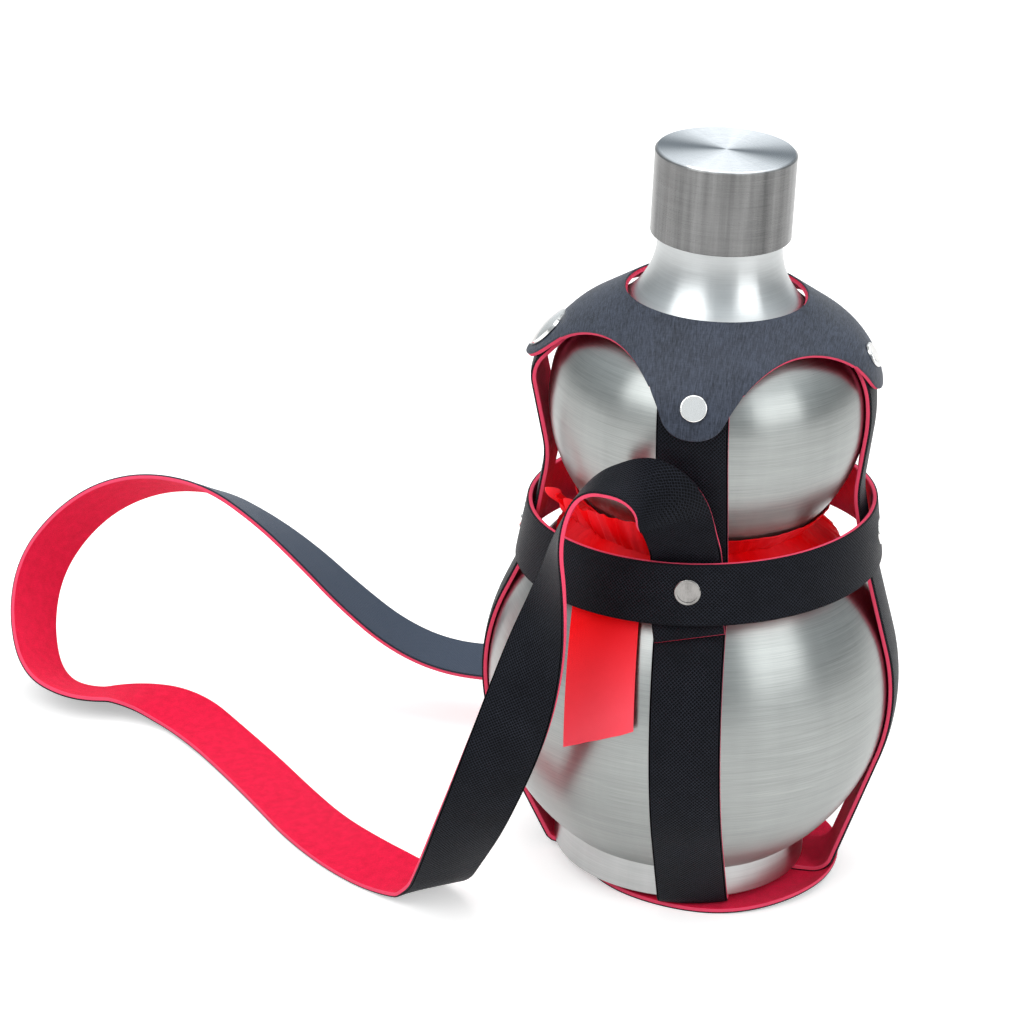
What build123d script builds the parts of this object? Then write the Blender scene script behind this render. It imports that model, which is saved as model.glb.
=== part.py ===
"""Gourd-shaped steel water bottle in a riveted leather harness with a carry strap.

Millimetres, +Z up. The origin is on the bottle's axis, on the underside of the
round leather pad that it stands on. The harness's front strap faces -Y and the
snap that opens the harness is on the -X side.
"""

from build123d import *
from math import acos, asin, atan2, cos, degrees, hypot, pi, radians, sin, sqrt, tan
import os

# Leather: a thin coated face on a thicker felt lining
face_thickness = 0.5
lining_thickness = 1.1
strap_width = 20.0
leather = face_thickness + lining_thickness
layer_gap = 0.3
edge_round = 0.3
overrun = 4.0

# Steel bottle
steel_wall = 0.8
lower_radius = 59.0
upper_radius = 45.7
foot_height = 9.5
lower_centre_above_foot = 55.5
bulb_spacing = 86.8
shoulder_radius = 22.0
shoulder_start_angle = 8.0
shoulder_end_angle = 52.0
neck_radius = 17.6
neck_fillet_radius = 24.5
neck_straight = 1.4
foot_radius = 37.0
foot_wall = 1.2
foot_edge_round = 0.9
bottom_opening_height = 5.8
bottom_plate_thickness = 1.0
bottom_plate_lift = 0.9

# Base of the harness: a round pad and two straps that cross on it
pad_radius = 39.5
harness_shift_x = 8.5
harness_shift_y = 1.0
foot_bottom = 2 * leather
lower_centre = foot_bottom + lower_centre_above_foot
upper_centre = lower_centre + bulb_spacing

# Straps lie this far off the steel
strap_gap = 0.4

# Belt, sheared so that its left side sits lower than its right
belt_height = 18.0
belt_centre_height = 106.0
belt_outer_radius = 51.0
belt_slope = 0.065
belt_bend_radius = 58.0
belt_bend_angle = 8.5
belt_gap = 0.5
side_bend_radius = 40.0
front_bend_radius = 30.0

# Foot corner that each strap turns round
corner_radius = 2.5
corner_reach = 1.7
slack_radius = 5.0
slack_reach = 7.0

# Yoke
yoke_hole_radius = 23.3
yoke_hole_underside = 178.1
yoke_lift = 0.45
yoke_skirt_angle = 4.0
lobe_tip_height = 151.6
arm_tip_height = 154.2
lobe_half_width = 14.0
lobe_rise = 12.0
window_half_width = 30.0
window_rise = 24.6
strap_top_angle = 42.0

# Left arm of the yoke: lifts at a fold and closes with a snap
fold_distance = 33.0
fold_cut = 0.3
snap_angle = 42.0
snap_height = 161.6
snap_strap_bend = 8.4
snap_strap_flat = 4.6
snap_cap_radius = 7.0
snap_cap_thickness = 0.9
snap_cap_dome = 1.0
snap_stud_radius = 2.0
snap_stud_height = 1.3
snap_stud_flange_radius = 3.1
snap_flange_thickness = 0.3
snap_clearance = 0.4
snap_socket_wall = 0.7
snap_post_radius = 1.2
snap_top_length = 11.5

# Rivets
rivet_cap_radius = 3.75
rivet_cap_thickness = 0.9
rivet_cap_edge = 0.35
rivet_post_radius = 1.5
rivet_hole_clearance = 0.15
rivet_flange_radius = 3.4
rivet_flange_thickness = 0.4
belt_rivet_lift = 0.15
yoke_rivet_height = 160.4
stud_rim_width = 0.8
stud_rim_depth = 0.3

# Cap, liner and mouth
cap_radius = 19.9
cap_height = 24.6
cap_wall = 0.8
cap_edge = 0.7
cap_bottom_height = 195.1
cap_fit = 0.06
mouth_bore_radius = 12.0
mouth_root_radius = 14.6
mouth_rim_height = 212.3
mouth_flange_radius = 16.6
mouth_flange_thickness = 0.8
mouth_skirt_depth = 7.0
thread_pitch = 4.0
thread_height = 1.1
thread_base_width = 1.8
thread_crest_width = 1.0
thread_clearance = 0.3
thread_turns = 1.9
thread_start_height = 201.2
thread_sink = 0.25
liner_bottom_inset = 1.2
gasket_thickness = 1.7
gasket_inner_radius = 12.0
gasket_outer_radius = 15.2
seal_gap = 0.1

# Waist ribbon
ribbon_width = 19.5
ribbon_thickness = 0.5
ribbon_gap = 0.5
ribbon_wrap_radius = 36.3
ribbon_wrap_low = 104.5
ribbon_wrap_high = 116.5
knot_radius = 6.5
knot_centre = (-36.0, -28.0, 120.0)
knot_reach = 47.5
ribbon_thin = 0.4
front_tail_offset = 1.0
front_tail_left = -30.5
front_tail_right = -9.5
front_tail_top = 104.0
front_tail_low_left = 56.5
front_tail_low_right = 68.5
rear_tail_left = -26.0
rear_tail_right = -8.2
rear_tail_top = 101.0
rear_tail_low = 72.0

# Where the straps cross under the foot
corner_flat = 30.0
hop_margin = 1.5
hop_ramp = 5.0
hop_height = 1.65
pad_rivet_recess = 0.1
tuck_depth = 3.7
right_rivet_height = 163.0
front_stud_x = 2.2
front_stud_height = 107.4
back_rivet_x = 2.6

# Carry strap: its middle line and its width direction, front end to back end
strap_step = 7.0
bend_share = 0.45
strap_stations = [
    ((1, -50.2, 95.2), (1, 0, 0)),
    ((1, -48.2, 99.6), (1, 0, 0)),
    ((1, -46.5, 107), (1, 0, 0)),
    ((1, -46.4, 116), (1, 0, 0)),
    ((-1, -50, 124), (1, 0.05, 0.05)),
    ((-3, -57, 134), (0.85, 0.4, 0.3)),
    ((-13, -61, 144), (0.25, 0.93, 0.2)),
    ((-27, -60, 141), (0.15, 0.98, -0.1)),
    ((-33, -63, 127), (-0.1, 0.98, -0.2)),
    ((-34, -66, 110), (-0.5, 0.85, -0.15)),
    ((-37, -70, 92), (-0.85, 0.5, 0)),
    ((-41, -74, 74), (-0.98, 0.15, 0.15)),
    ((-47, -75, 55), (-0.95, -0.2, 0.25)),
    ((-53, -70, 37), (-0.9, -0.35, 0.2)),
    ((-59, -61, 20), (-0.82, -0.55, 0.12)),
    ((-65, -50, 4), (-0.77, -0.63, 0.05)),
    ((-76, -43, 2.5), (-0.7, -0.7, -0.12)),
    ((-90, -35, 3), (-0.65, -0.73, -0.2)),
    ((-106, -19, 2), (-0.77, -0.62, -0.1)),
    ((-120, 0, 1), (-0.79, -0.61, 0)),
    ((-134, 18, 1), (-0.76, -0.65, 0)),
    ((-148, 34, 1.5), (-0.62, -0.78, 0)),
    ((-163, 47, 3.5), (-0.4, -0.9, -0.15)),
    ((-179, 50, 5), (-0.3, -0.93, 0.15)),
    ((-195, 46, 4.5), (-0.35, -0.88, 0.3)),
    ((-209, 52, 7), (-0.45, -0.77, 0.42)),
    ((-216, 65, 19), (-0.52, -0.64, 0.52)),
    ((-216, 76, 33), (-0.5, -0.64, 0.57)),
    ((-208, 83, 46), (-0.4, -0.68, 0.6)),
    ((-196, 87, 56), (-0.3, -0.72, 0.6)),
    ((-180, 90, 61), (-0.2, -0.8, 0.55)),
    ((-162, 88, 61), (-0.12, -0.88, 0.45)),
    ((-145, 84, 54), (-0.08, -0.94, 0.3)),
    ((-130, 80, 45), (-0.1, -0.97, 0.15)),
    ((-115, 76, 34), (-0.12, -0.99, 0.06)),
    ((-100, 74, 24), (-0.1, -1, 0)),
    ((-84, 72, 19), (-0.05, -1, -0.05)),
    ((-66, 71, 19), (0, -1, -0.1)),
    ((-48, 70, 23), (0, -0.99, -0.12)),
    ((-31, 69, 31), (-0.15, -0.98, 0)),
    ((-17, 67, 43), (-0.45, -0.87, 0.2)),
    ((-8, 65, 57), (-0.78, -0.57, 0.25)),
    ((-2, 62, 72), (-0.95, -0.25, 0.15)),
    ((0, 56, 85), (-1, -0.05, 0.05)),
    ((1, 48.4, 99.4), (-1, 0, 0)),
    ((1, 46.5, 107), (-1, 0, 0)),
    ((1, 46.4, 114.5), (-1, 0, 0)),
]


def unit(angle):
    """Unit vector in the (radius, height) plane at an angle above horizontal."""
    return (cos(radians(angle)), sin(radians(angle)))


def along(point, angle, distance):
    """The point moved by a distance in the direction of an angle."""
    step = unit(angle)
    return (point[0] + distance * step[0], point[1] + distance * step[1])


def tangent_angle(first, second):
    """Outward normal of the line that touches both pulleys, upper one first.

    A pulley is ((radius, height), signed size): positive where the strap bends
    round its outside, negative where it bends the other way.
    """
    across = second[0][0] - first[0][0]
    down = second[0][1] - first[0][1]
    share = (first[1] - second[1]) / hypot(across, down)
    turn = degrees(acos(max(-1.0, min(1.0, share))))
    return degrees(atan2(down, across)) + turn


def taut_edges(pulleys, start_angle, start_length, end_length, offset):
    """Edges of a strap surface pulled round the pulleys, from top to bottom."""
    grown = [(centre, size + offset) for centre, size in pulleys]
    angles = [start_angle]
    for upper, lower in zip(grown, grown[1:]):
        angles.append(tangent_angle(upper, lower))
    angles.append(-90.0)
    edges = []
    point = along(grown[0][0], start_angle, grown[0][1])
    if start_length > 0:
        top = along(point, start_angle + 90, start_length)
        edges.append(Line(top, point))
    for index, (centre, size) in enumerate(grown):
        arrive, leave = angles[index], angles[index + 1]
        arc_start = along(centre, arrive, size)
        if hypot(arc_start[0] - point[0], arc_start[1] - point[1]) > layer_gap / 100:
            edges.append(Line(point, arc_start))
        arc_middle = along(centre, (arrive + leave) / 2, size)
        point = along(centre, leave, size)
        edges.append(ThreePointArc(arc_start, arc_middle, point))
    last = (point[0] - end_length, point[1])
    edges.append(Line(point, last))
    return edges


def layer_profile(pulleys, start_angle, start_length, end_length, low, high):
    """Closed (radius, height) face between two offsets of a strap surface."""
    inner = taut_edges(pulleys, start_angle, start_length, end_length, low)
    outer = taut_edges(pulleys, start_angle, start_length, end_length, high)
    inner_wire = Wire(inner)
    outer_wire = Wire(outer)
    first = Line(inner_wire @ 0, outer_wire @ 0)
    last = Line(inner_wire @ 1, outer_wire @ 1)
    return make_face(Wire(inner + [last] + outer + [first]))


def spin(face):
    """Solid of revolution about Z of a face drawn in (radius, height)."""
    return revolve(Plane.XZ * face, Axis.Z)


def ring_face(points):
    """Face with straight sides through (radius, height) points."""
    return make_face(Polyline(*points, close=True))


# Centres and sizes that several pieces share
shoulder_reach = upper_radius - shoulder_radius
shoulder_centre = along((0, upper_centre), shoulder_start_angle, shoulder_reach)


def bottle_offset(distance):
    """Pulleys of the upper bulb and shoulder, a distance off the steel."""
    shoulder = (shoulder_centre, shoulder_radius + distance)
    bulb = ((0, upper_centre), upper_radius + distance)
    return [shoulder, bulb]


def waist():
    """Radius and height where the two bulbs meet."""
    height = (
        (lower_radius**2 - upper_radius**2) - (lower_centre**2 - upper_centre**2)
    ) / (2 * (upper_centre - lower_centre))
    return sqrt(lower_radius**2 - (height - lower_centre) ** 2), height


waist_radius, waist_height = waist()


def neck_start():
    """Centre of the fillet between shoulder cone and neck, and its tangent point."""
    leave = along(shoulder_centre, shoulder_end_angle, shoulder_radius)
    centre_radius = neck_radius + neck_fillet_radius
    touch_radius = centre_radius - neck_fillet_radius * cos(radians(shoulder_end_angle))
    slope = tan(radians(90 - shoulder_end_angle))
    touch_height = leave[1] + (leave[0] - touch_radius) * slope
    rise = neck_fillet_radius * sin(radians(shoulder_end_angle))
    return (centre_radius, touch_height + rise), (touch_radius, touch_height)


def upper_skin(inset):
    """Edges of the upper bulb from the waist to the top of the neck."""
    size = upper_radius - inset
    base = (sqrt(size**2 - (waist_height - upper_centre) ** 2), waist_height)
    base_angle = degrees(asin((waist_height - upper_centre) / size))
    first_stop = along((0, upper_centre), shoulder_start_angle, size)
    middle = along((0, upper_centre), (base_angle + shoulder_start_angle) / 2, size)
    turn = (shoulder_start_angle + shoulder_end_angle) / 2
    shoulder_size = shoulder_radius - inset
    second_stop = along(shoulder_centre, shoulder_end_angle, shoulder_size)
    fillet_centre, touch = neck_start()
    fillet_size = neck_fillet_radius + inset
    fillet_start = along(fillet_centre, 180 + shoulder_end_angle, fillet_size)
    fillet_middle = along(fillet_centre, 180 + shoulder_end_angle / 2, fillet_size)
    fillet_end = (fillet_centre[0] - fillet_size, fillet_centre[1])
    neck_top = (fillet_end[0], fillet_centre[1] + neck_straight)
    return [
        ThreePointArc(base, middle, first_stop),
        ThreePointArc(first_stop, along(shoulder_centre, turn, shoulder_size), second_stop),
        Line(second_stop, fillet_start),
        ThreePointArc(fillet_start, fillet_middle, fillet_end),
        Line(fillet_end, neck_top),
    ]


def lower_skin(inset):
    """Edges of the lower bulb from its bottom opening to the waist."""
    size = lower_radius - inset
    low_height = foot_bottom + bottom_opening_height
    start = (sqrt(size**2 - (low_height - lower_centre) ** 2), low_height)
    end = (sqrt(size**2 - (waist_height - lower_centre) ** 2), waist_height)
    return [ThreePointArc(start, (size, lower_centre), end)]


def shell_between(outer, inner):
    """Thin revolved shell between two open skins that run the same way."""
    outer_wire = Wire(outer)
    inner_wire = Wire(inner)
    bottom = Line(inner_wire @ 0, outer_wire @ 0)
    top = Line(outer_wire @ 1, inner_wire @ 1)
    return spin(make_face(Wire(outer + [top] + inner + [bottom])))


neck_top_height = neck_start()[0][1] + neck_straight


def make_upper_bulb():
    return shell_between(upper_skin(0), upper_skin(steel_wall))


def make_lower_bulb():
    return shell_between(lower_skin(0), lower_skin(steel_wall))


def make_foot_ring():
    """Turned ring under the lower bulb, cut to the bulb where it is welded on."""
    tube = Cylinder(foot_radius, foot_height + overrun, align=(Align.CENTER, Align.CENTER, Align.MIN))
    bore = Cylinder(foot_radius - foot_wall, foot_height + overrun, align=(Align.CENTER, Align.CENTER, Align.MIN))
    ring = Pos(0, 0, foot_bottom) * (tube - bore)
    bottom_edges = ring.edges().filter_by_position(Axis.Z, foot_bottom, foot_bottom)
    ring = fillet(bottom_edges, foot_wall / 2 - rivet_hole_clearance)
    return ring - Pos(0, 0, lower_centre) * Sphere(lower_radius)


def make_bottom_plate():
    """Plate that closes the lower bulb, seated on its inner wall."""
    size = lower_radius - steel_wall
    base = foot_bottom + bottom_opening_height + bottom_plate_lift
    disc = Cylinder(size, bottom_plate_thickness, align=(Align.CENTER, Align.CENTER, Align.MIN))
    return (Pos(0, 0, base) * disc) & (Pos(0, 0, lower_centre) * Sphere(size))


def thread_ridge(base_radius, height_of_start, outward):
    """Helical ridge that stands on a cylinder, outwards or inwards."""
    sign = 1 if outward else -1
    path = Helix(thread_pitch, thread_pitch * thread_turns, base_radius)
    crest = base_radius + sign * thread_height
    root = base_radius - sign * thread_sink
    section = Plane.XZ * make_face(
        Polyline(
            (root, -thread_base_width / 2),
            (crest, -thread_crest_width / 2),
            (crest, thread_crest_width / 2),
            (root, thread_base_width / 2),
            close=True,
        )
    )
    ridge = sweep(section, path=path, is_frenet=True)
    return Pos(0, 0, height_of_start) * ridge


def make_mouth_collar():
    """Threaded mouth that is welded into the top of the neck."""
    bottom = neck_top_height - mouth_skirt_depth
    tube = ring_face(
        [
            (mouth_bore_radius, bottom),
            (mouth_root_radius, bottom),
            (mouth_root_radius, neck_top_height),
            (mouth_flange_radius, neck_top_height),
            (mouth_flange_radius, neck_top_height + mouth_flange_thickness),
            (mouth_root_radius, neck_top_height + mouth_flange_thickness),
            (mouth_root_radius, mouth_rim_height),
            (mouth_bore_radius, mouth_rim_height),
        ]
    )
    return spin(tube) + thread_ridge(mouth_root_radius, thread_start_height, True)


cap_top_height = cap_bottom_height + cap_height
liner_bore_radius = mouth_root_radius + thread_height + thread_clearance
liner_ceiling = mouth_rim_height + seal_gap + gasket_thickness + seal_gap


def make_cap_shell():
    """Spun steel cup with a broken top edge."""
    outer = Cylinder(cap_radius, cap_height, align=(Align.CENTER, Align.CENTER, Align.MIN))
    outer = chamfer(outer.edges().group_by(Axis.Z)[-1], cap_edge)
    inner = Cylinder(cap_radius - cap_wall, cap_height - cap_wall, align=(Align.CENTER, Align.CENTER, Align.MIN))
    shell = outer - inner
    mouth_edges = shell.edges().group_by(Axis.Z)[0]
    shell = fillet(mouth_edges, cap_wall * 3 / 8)
    return Pos(0, 0, cap_bottom_height) * shell


def make_cap_liner():
    """Moulded plug inside the cap that carries the inner thread."""
    outer_radius = cap_radius - cap_wall - cap_fit
    bottom = cap_bottom_height + liner_bottom_inset
    top = cap_top_height - cap_wall - cap_fit
    body = ring_face(
        [
            (liner_bore_radius, bottom),
            (outer_radius, bottom),
            (outer_radius, top),
            (0, top),
            (0, liner_ceiling),
            (liner_bore_radius, liner_ceiling),
        ]
    )
    start = thread_start_height - thread_pitch / 2
    return spin(body) + thread_ridge(liner_bore_radius, start, False)


def make_cap_gasket():
    base = mouth_rim_height + seal_gap
    ring = ring_face(
        [
            (gasket_inner_radius, base),
            (gasket_outer_radius, base),
            (gasket_outer_radius, base + gasket_thickness),
            (gasket_inner_radius, base + gasket_thickness),
        ]
    )
    return spin(ring)


# Straps, each a list of pulleys from the top of the strap to the foot
belt_inner_radius = belt_outer_radius - leather
yoke_underside = strap_gap + leather + yoke_lift
big = 2 * (cap_top_height + foot_radius)


def bend_centre(surface, size, height_shift):
    """Centre of a concave bend whose surface is sloped at the belt's middle."""
    offset = along((0, 0), belt_bend_angle, size)
    return (surface + offset[0], belt_centre_height + height_shift + offset[1])


def belt_pulley(height_shift, tuck):
    """The concave bend where the belt pulls a strap in."""
    surface = belt_inner_radius - belt_gap - leather - tuck
    size = front_bend_radius if tuck > 0 else side_bend_radius
    return (bend_centre(surface, size, height_shift), -size)


def lower_pulleys(reach, size):
    """The lower bulb and the corner under the foot."""
    bulb = ((0, lower_centre), lower_radius + strap_gap)
    corner = ((foot_radius - corner_radius + reach, foot_bottom + size), size)
    return [bulb, corner]


def plain_route(height_shift, tuck, reach, size):
    return bottle_offset(strap_gap) + [belt_pulley(height_shift, tuck)] + lower_pulleys(reach, size)


def arm_support():
    """Distance from the axis point to the flat outer face of the left arm."""
    normal = unit(snap_angle)
    reach = shoulder_centre[0] * normal[0] + shoulder_centre[1] * normal[1]
    return reach + shoulder_radius + yoke_underside + leather


def arm_point(offset):
    """Snap's centre in (radius, height), moved off the arm's outer face."""
    normal = unit(snap_angle)
    radius = (arm_support() - snap_height * normal[1]) / normal[0]
    return along((radius, snap_height), snap_angle, offset)


def snap_route(height_shift):
    """The left strap leaves the steel to lie flat under the snap."""
    inner_face = arm_point(-(leather + yoke_lift + leather))
    bend_start = along(inner_face, snap_angle - 90, snap_strap_flat)
    bend_centre = along(bend_start, snap_angle, -snap_strap_bend)
    bend = (bend_centre, snap_strap_bend)
    return [bend, belt_pulley(height_shift, 0)] + lower_pulleys(corner_reach, corner_radius)


def half_space(direction):
    """Box that keeps one side of the axis, along +X, -X, +Y or -Y."""
    return Pos(direction[0] * big / 2, direction[1] * big / 2, 0) * Box(big, big, big)


def band(direction, lean):
    """Long box as wide as a strap, on one side of the axis."""
    if direction[0] == 0:
        box = Box(strap_width, big, big)
        lean_axis = Axis((0, 0, lobe_tip_height), (0, 1, 0))
    else:
        box = Pos(0, harness_shift_y, 0) * Box(big, strap_width, big)
        lean_axis = Axis((0, 0, lobe_tip_height), (1, 0, 0))
    return box.rotate(lean_axis, lean) & half_space(direction)


def harness_lean():
    """How far the front and back straps lean so as to cross on the pad's centre."""
    return -degrees(atan2(harness_shift_x, lobe_tip_height - foot_bottom))


def strap_layer(route, direction, lean, low, high, top_angle, top_length):
    """One layer of a strap on one side of the bottle, down under the foot."""
    profile = layer_profile(route, top_angle, top_length, route[-1][0][0], low, high)
    return spin(profile) & band(direction, lean)


def long_strap(low, high):
    """Layer of the strap that runs down the front, under the foot and up the back."""
    route = plain_route(0, tuck_depth, corner_reach, corner_radius)
    front = strap_layer(route, (0, -1), harness_lean(), low, high, strap_top_angle, 0)
    back = strap_layer(route, (0, 1), harness_lean(), low, high, strap_top_angle, 0)
    return front + back


def hop_profile(low, high):
    """Side view of the side strap where it climbs over the long strap."""
    middle = harness_shift_x
    half = strap_width / 2 + hop_margin
    line = [
        (-corner_flat, 0),
        (middle - half - hop_ramp, 0),
        (middle - half, hop_height),
        (middle + half, hop_height),
        (middle + half + hop_ramp, 0),
        (corner_flat, 0),
    ]
    top = [(x, foot_bottom - low + z) for x, z in line]
    bottom = [(x, foot_bottom - high + z) for x, z in reversed(line)]
    return Plane.XZ * make_face(Polyline(*top, *bottom, close=True))


def side_strap(low, high):
    """Layer of the strap from the snap, under the foot and up to the right rivet."""
    shift = belt_slope * belt_outer_radius
    right_route = plain_route(shift, 0, slack_reach, slack_radius)
    right = strap_layer(right_route, (1, 0), 0, low, high, strap_top_angle, 0)
    left = strap_layer(snap_route(-shift), (-1, 0), 0, low, high, snap_angle, snap_top_length)
    middle = Box(2 * corner_flat, strap_width + overrun, big)
    hop = extrude(hop_profile(low, high), strap_width / 2, both=True)
    hop = Pos(0, harness_shift_y, 0) * hop
    return (left + right - middle) + hop


def belt_layer(low, high):
    """Layer of the belt, its surface an arc round the belt's bend centre."""
    centre = bend_centre(belt_inner_radius, belt_bend_radius, 0)
    inner = belt_bend_radius - low
    outer = belt_bend_radius - high
    middle = 180 + belt_bend_angle
    swing = degrees(belt_height / (inner + outer))
    angles = (middle - swing, middle, middle + swing)
    inside = [along(centre, angle, inner) for angle in angles]
    outside = [along(centre, angle, outer) for angle in angles]
    edges = [
        ThreePointArc(*inside),
        Line(inside[2], outside[2]),
        ThreePointArc(*outside),
        Line(outside[0], inside[0]),
    ]
    ring = spin(make_face(Wire(edges)))
    shear = Matrix([[1, 0, 0, 0], [0, 1, 0, 0], [belt_slope, 0, 1, 0]])
    return ring.transform_geometry(shear)


def yoke_end_angle():
    """Normal of the straight line from the shoulder arc to the hole's edge."""
    across = yoke_hole_radius - shoulder_centre[0]
    rise = yoke_hole_underside - shoulder_centre[1]
    size = shoulder_radius + yoke_underside
    return degrees(atan2(rise, across) - acos(size / hypot(across, rise)))


def cover_edges(offset, lowest_angle, tail_length):
    """Edges of the yoke's surface, from the hole down to its lowest normal."""
    end = yoke_end_angle()
    size = shoulder_radius + yoke_underside + offset
    start = along(shoulder_centre, end, size)
    top = along(start, end + 90, shoulder_radius)
    edges = [Line(top, start)]
    if tail_length > 0:
        leave = along(shoulder_centre, lowest_angle, size)
        middle = along(shoulder_centre, (end + lowest_angle) / 2, size)
        edges.append(ThreePointArc(start, middle, leave))
        edges.append(Line(leave, along(leave, lowest_angle - 90, tail_length)))
        return edges
    turn = shoulder_start_angle
    leave = along(shoulder_centre, turn, size)
    middle = along(shoulder_centre, (end + turn) / 2, size)
    edges.append(ThreePointArc(start, middle, leave))
    bulb = upper_radius + yoke_underside + offset
    bottom = along((0, upper_centre), lowest_angle, bulb)
    edges.append(ThreePointArc(leave, along((0, upper_centre), (turn + lowest_angle) / 2, bulb), bottom))
    return edges


def cover_layer(low, high, lowest_angle, tail_length):
    """Revolved layer of the yoke or of its left arm, with the neck hole."""
    inner = cover_edges(low, lowest_angle, tail_length)
    outer = cover_edges(high, lowest_angle, tail_length)
    first = Line(Wire(inner) @ 0, Wire(outer) @ 0)
    last = Line(Wire(inner) @ 1, Wire(outer) @ 1)
    solid = spin(make_face(Wire(inner + [last] + outer + [first])))
    return solid - Cylinder(yoke_hole_radius, big)


def window_prisms():
    """Elliptical prisms along both diagonals that open the yoke's windows."""
    oval = Plane.XZ * Ellipse(window_half_width, window_rise)
    prism = Pos(0, 0, upper_centre) * extrude(oval, big / 2, both=True)
    return prism.rotate(Axis.Z, 45) + prism.rotate(Axis.Z, -45)


def tip_cutter(direction, tip_height):
    """What is cut off a lobe to round its tip."""
    centre_height = tip_height + lobe_rise
    oval = Plane.XZ * Ellipse(lobe_half_width, lobe_rise)
    prism = Pos(0, 0, centre_height) * extrude(oval, big / 2, both=True)
    below = Pos(0, 0, centre_height - big / 2) * Box(big, big, big)
    turned = (below - prism) if direction[0] == 0 else (below - prism.rotate(Axis.Z, 90))
    quarter = Box(big, big, big).rotate(Axis.Z, 45)
    reach = big / sqrt(2)
    return turned & (Pos(direction[0] * reach, direction[1] * reach, 0) * quarter)


def yoke_cutters():
    cutters = [window_prisms()]
    cutters.append(tip_cutter((0, -1), lobe_tip_height))
    cutters.append(tip_cutter((0, 1), lobe_tip_height))
    cutters.append(tip_cutter((1, 0), arm_tip_height))
    return cutters


def left_side(distance):
    """Box that holds everything further than a distance on the -X side."""
    return Pos(-distance - big / 2, 0, 0) * Box(big, big, big)


def yoke_layer(low, high):
    """Layer of the yoke without its left arm."""
    layer = cover_layer(low, high, yoke_skirt_angle, 0)
    for cutter in yoke_cutters():
        layer = layer - cutter
    return layer - left_side(fold_distance)


def flap_layer(low, high):
    """Layer of the left arm, flat under the snap."""
    layer = cover_layer(low, high, snap_angle, shoulder_radius)
    layer = layer - window_prisms() - tip_cutter((-1, 0), arm_tip_height)
    layer = layer & left_side(fold_distance + fold_cut)
    return layer - seat_drill(snap_seat(), snap_hole_radius(), leather + overrun, overrun)


def seat(azimuth, point, elevation):
    """Plane whose z points out of a surface; azimuth from -Y towards +X."""
    turn = radians(azimuth)
    rise = radians(elevation)
    outward = (cos(rise) * sin(turn), -cos(rise) * cos(turn), sin(rise))
    origin = (point[0] * sin(turn), -point[0] * cos(turn), point[1])
    return Plane(origin=origin, x_dir=(cos(turn), sin(turn), 0), z_dir=outward)


def snap_seat():
    return seat(-90, arm_point(0), snap_angle)


def seat_drill(plane, radius, depth, rise):
    """Cylinder square to a surface, from a depth below it to a rise above it."""
    tool = Cylinder(radius, depth + rise, align=(Align.CENTER, Align.CENTER, Align.MIN))
    return plane * (Pos(0, 0, -depth) * tool)


def disc(radius, bottom, top):
    base = Cylinder(radius, top - bottom, align=(Align.CENTER, Align.CENTER, Align.MIN))
    return Pos(0, 0, bottom) * base


def snap_hole_radius():
    return snap_stud_radius + snap_clearance + snap_socket_wall + rivet_hole_clearance


def yoke_seats():
    """Where the three yoke rivets sit, front, back and right."""
    size = shoulder_radius + yoke_underside + leather
    seats = []
    for azimuth, height in ((0, yoke_rivet_height), (180, yoke_rivet_height), (90, right_rivet_height)):
        angle = degrees(asin((height - shoulder_centre[1]) / size))
        seats.append(seat(azimuth, along(shoulder_centre, angle, size), angle))
    return seats


def belt_seat(azimuth, height, height_shift):
    """Where a rivet sits on the belt's outer face."""
    centre_radius, centre_height = bend_centre(belt_inner_radius, belt_bend_radius, 0)
    size = belt_bend_radius - leather - belt_rivet_lift
    angle = degrees(asin((centre_height + height_shift - height) / size))
    radius = centre_radius - size * cos(radians(angle))
    return seat(azimuth, (radius, height), angle)


def belt_seats():
    """Left and right rivets of the belt, then the back one."""
    shift = belt_slope * belt_outer_radius
    lean = degrees(atan2(back_rivet_x, belt_outer_radius))
    low = belt_centre_height - shift
    high = belt_centre_height + shift
    slip = belt_slope * back_rivet_x
    return [
        belt_seat(-90, low, -shift),
        belt_seat(90, high, shift),
        belt_seat(180 - lean, belt_centre_height + slip, slip),
    ]


def stud_seat():
    lean = degrees(atan2(front_stud_x, belt_outer_radius))
    return belt_seat(lean, front_stud_height, belt_slope * front_stud_x)


side_stack = belt_rivet_lift + leather + belt_gap + leather
tucked_stack = side_stack + tuck_depth
yoke_stack = leather + yoke_lift + leather


def rivet(depth):
    """Tubular rivet, its cap on the outside and its flange in the lining."""
    cap = disc(rivet_cap_radius, 0, rivet_cap_thickness)
    cap = fillet(cap.edges().group_by(Axis.Z)[-1], rivet_cap_edge)
    post = disc(rivet_post_radius, -depth, rivet_cap_thickness / 2)
    flange = disc(rivet_flange_radius, -depth, rivet_flange_thickness - depth)
    return cap + post + flange


def rimmed_stud(depth):
    """Rivet with a raised rim round a sunk face."""
    sunk = rivet_cap_thickness - stud_rim_depth
    face = disc(rivet_cap_radius - stud_rim_width, sunk, rivet_cap_thickness + overrun)
    return rivet(depth) - face


def rivet_holes(plane, depth, flange_radius):
    """Post hole through all layers and counterbore in the innermost lining."""
    post = seat_drill(plane, rivet_post_radius + rivet_hole_clearance, depth + overrun, overrun / 2)
    sink_radius = flange_radius + rivet_hole_clearance
    base = Cylinder(sink_radius, overrun / 2, align=(Align.CENTER, Align.CENTER, Align.MAX))
    sink = plane * (Pos(0, 0, rivet_flange_thickness - depth) * base)
    return post, sink


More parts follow.
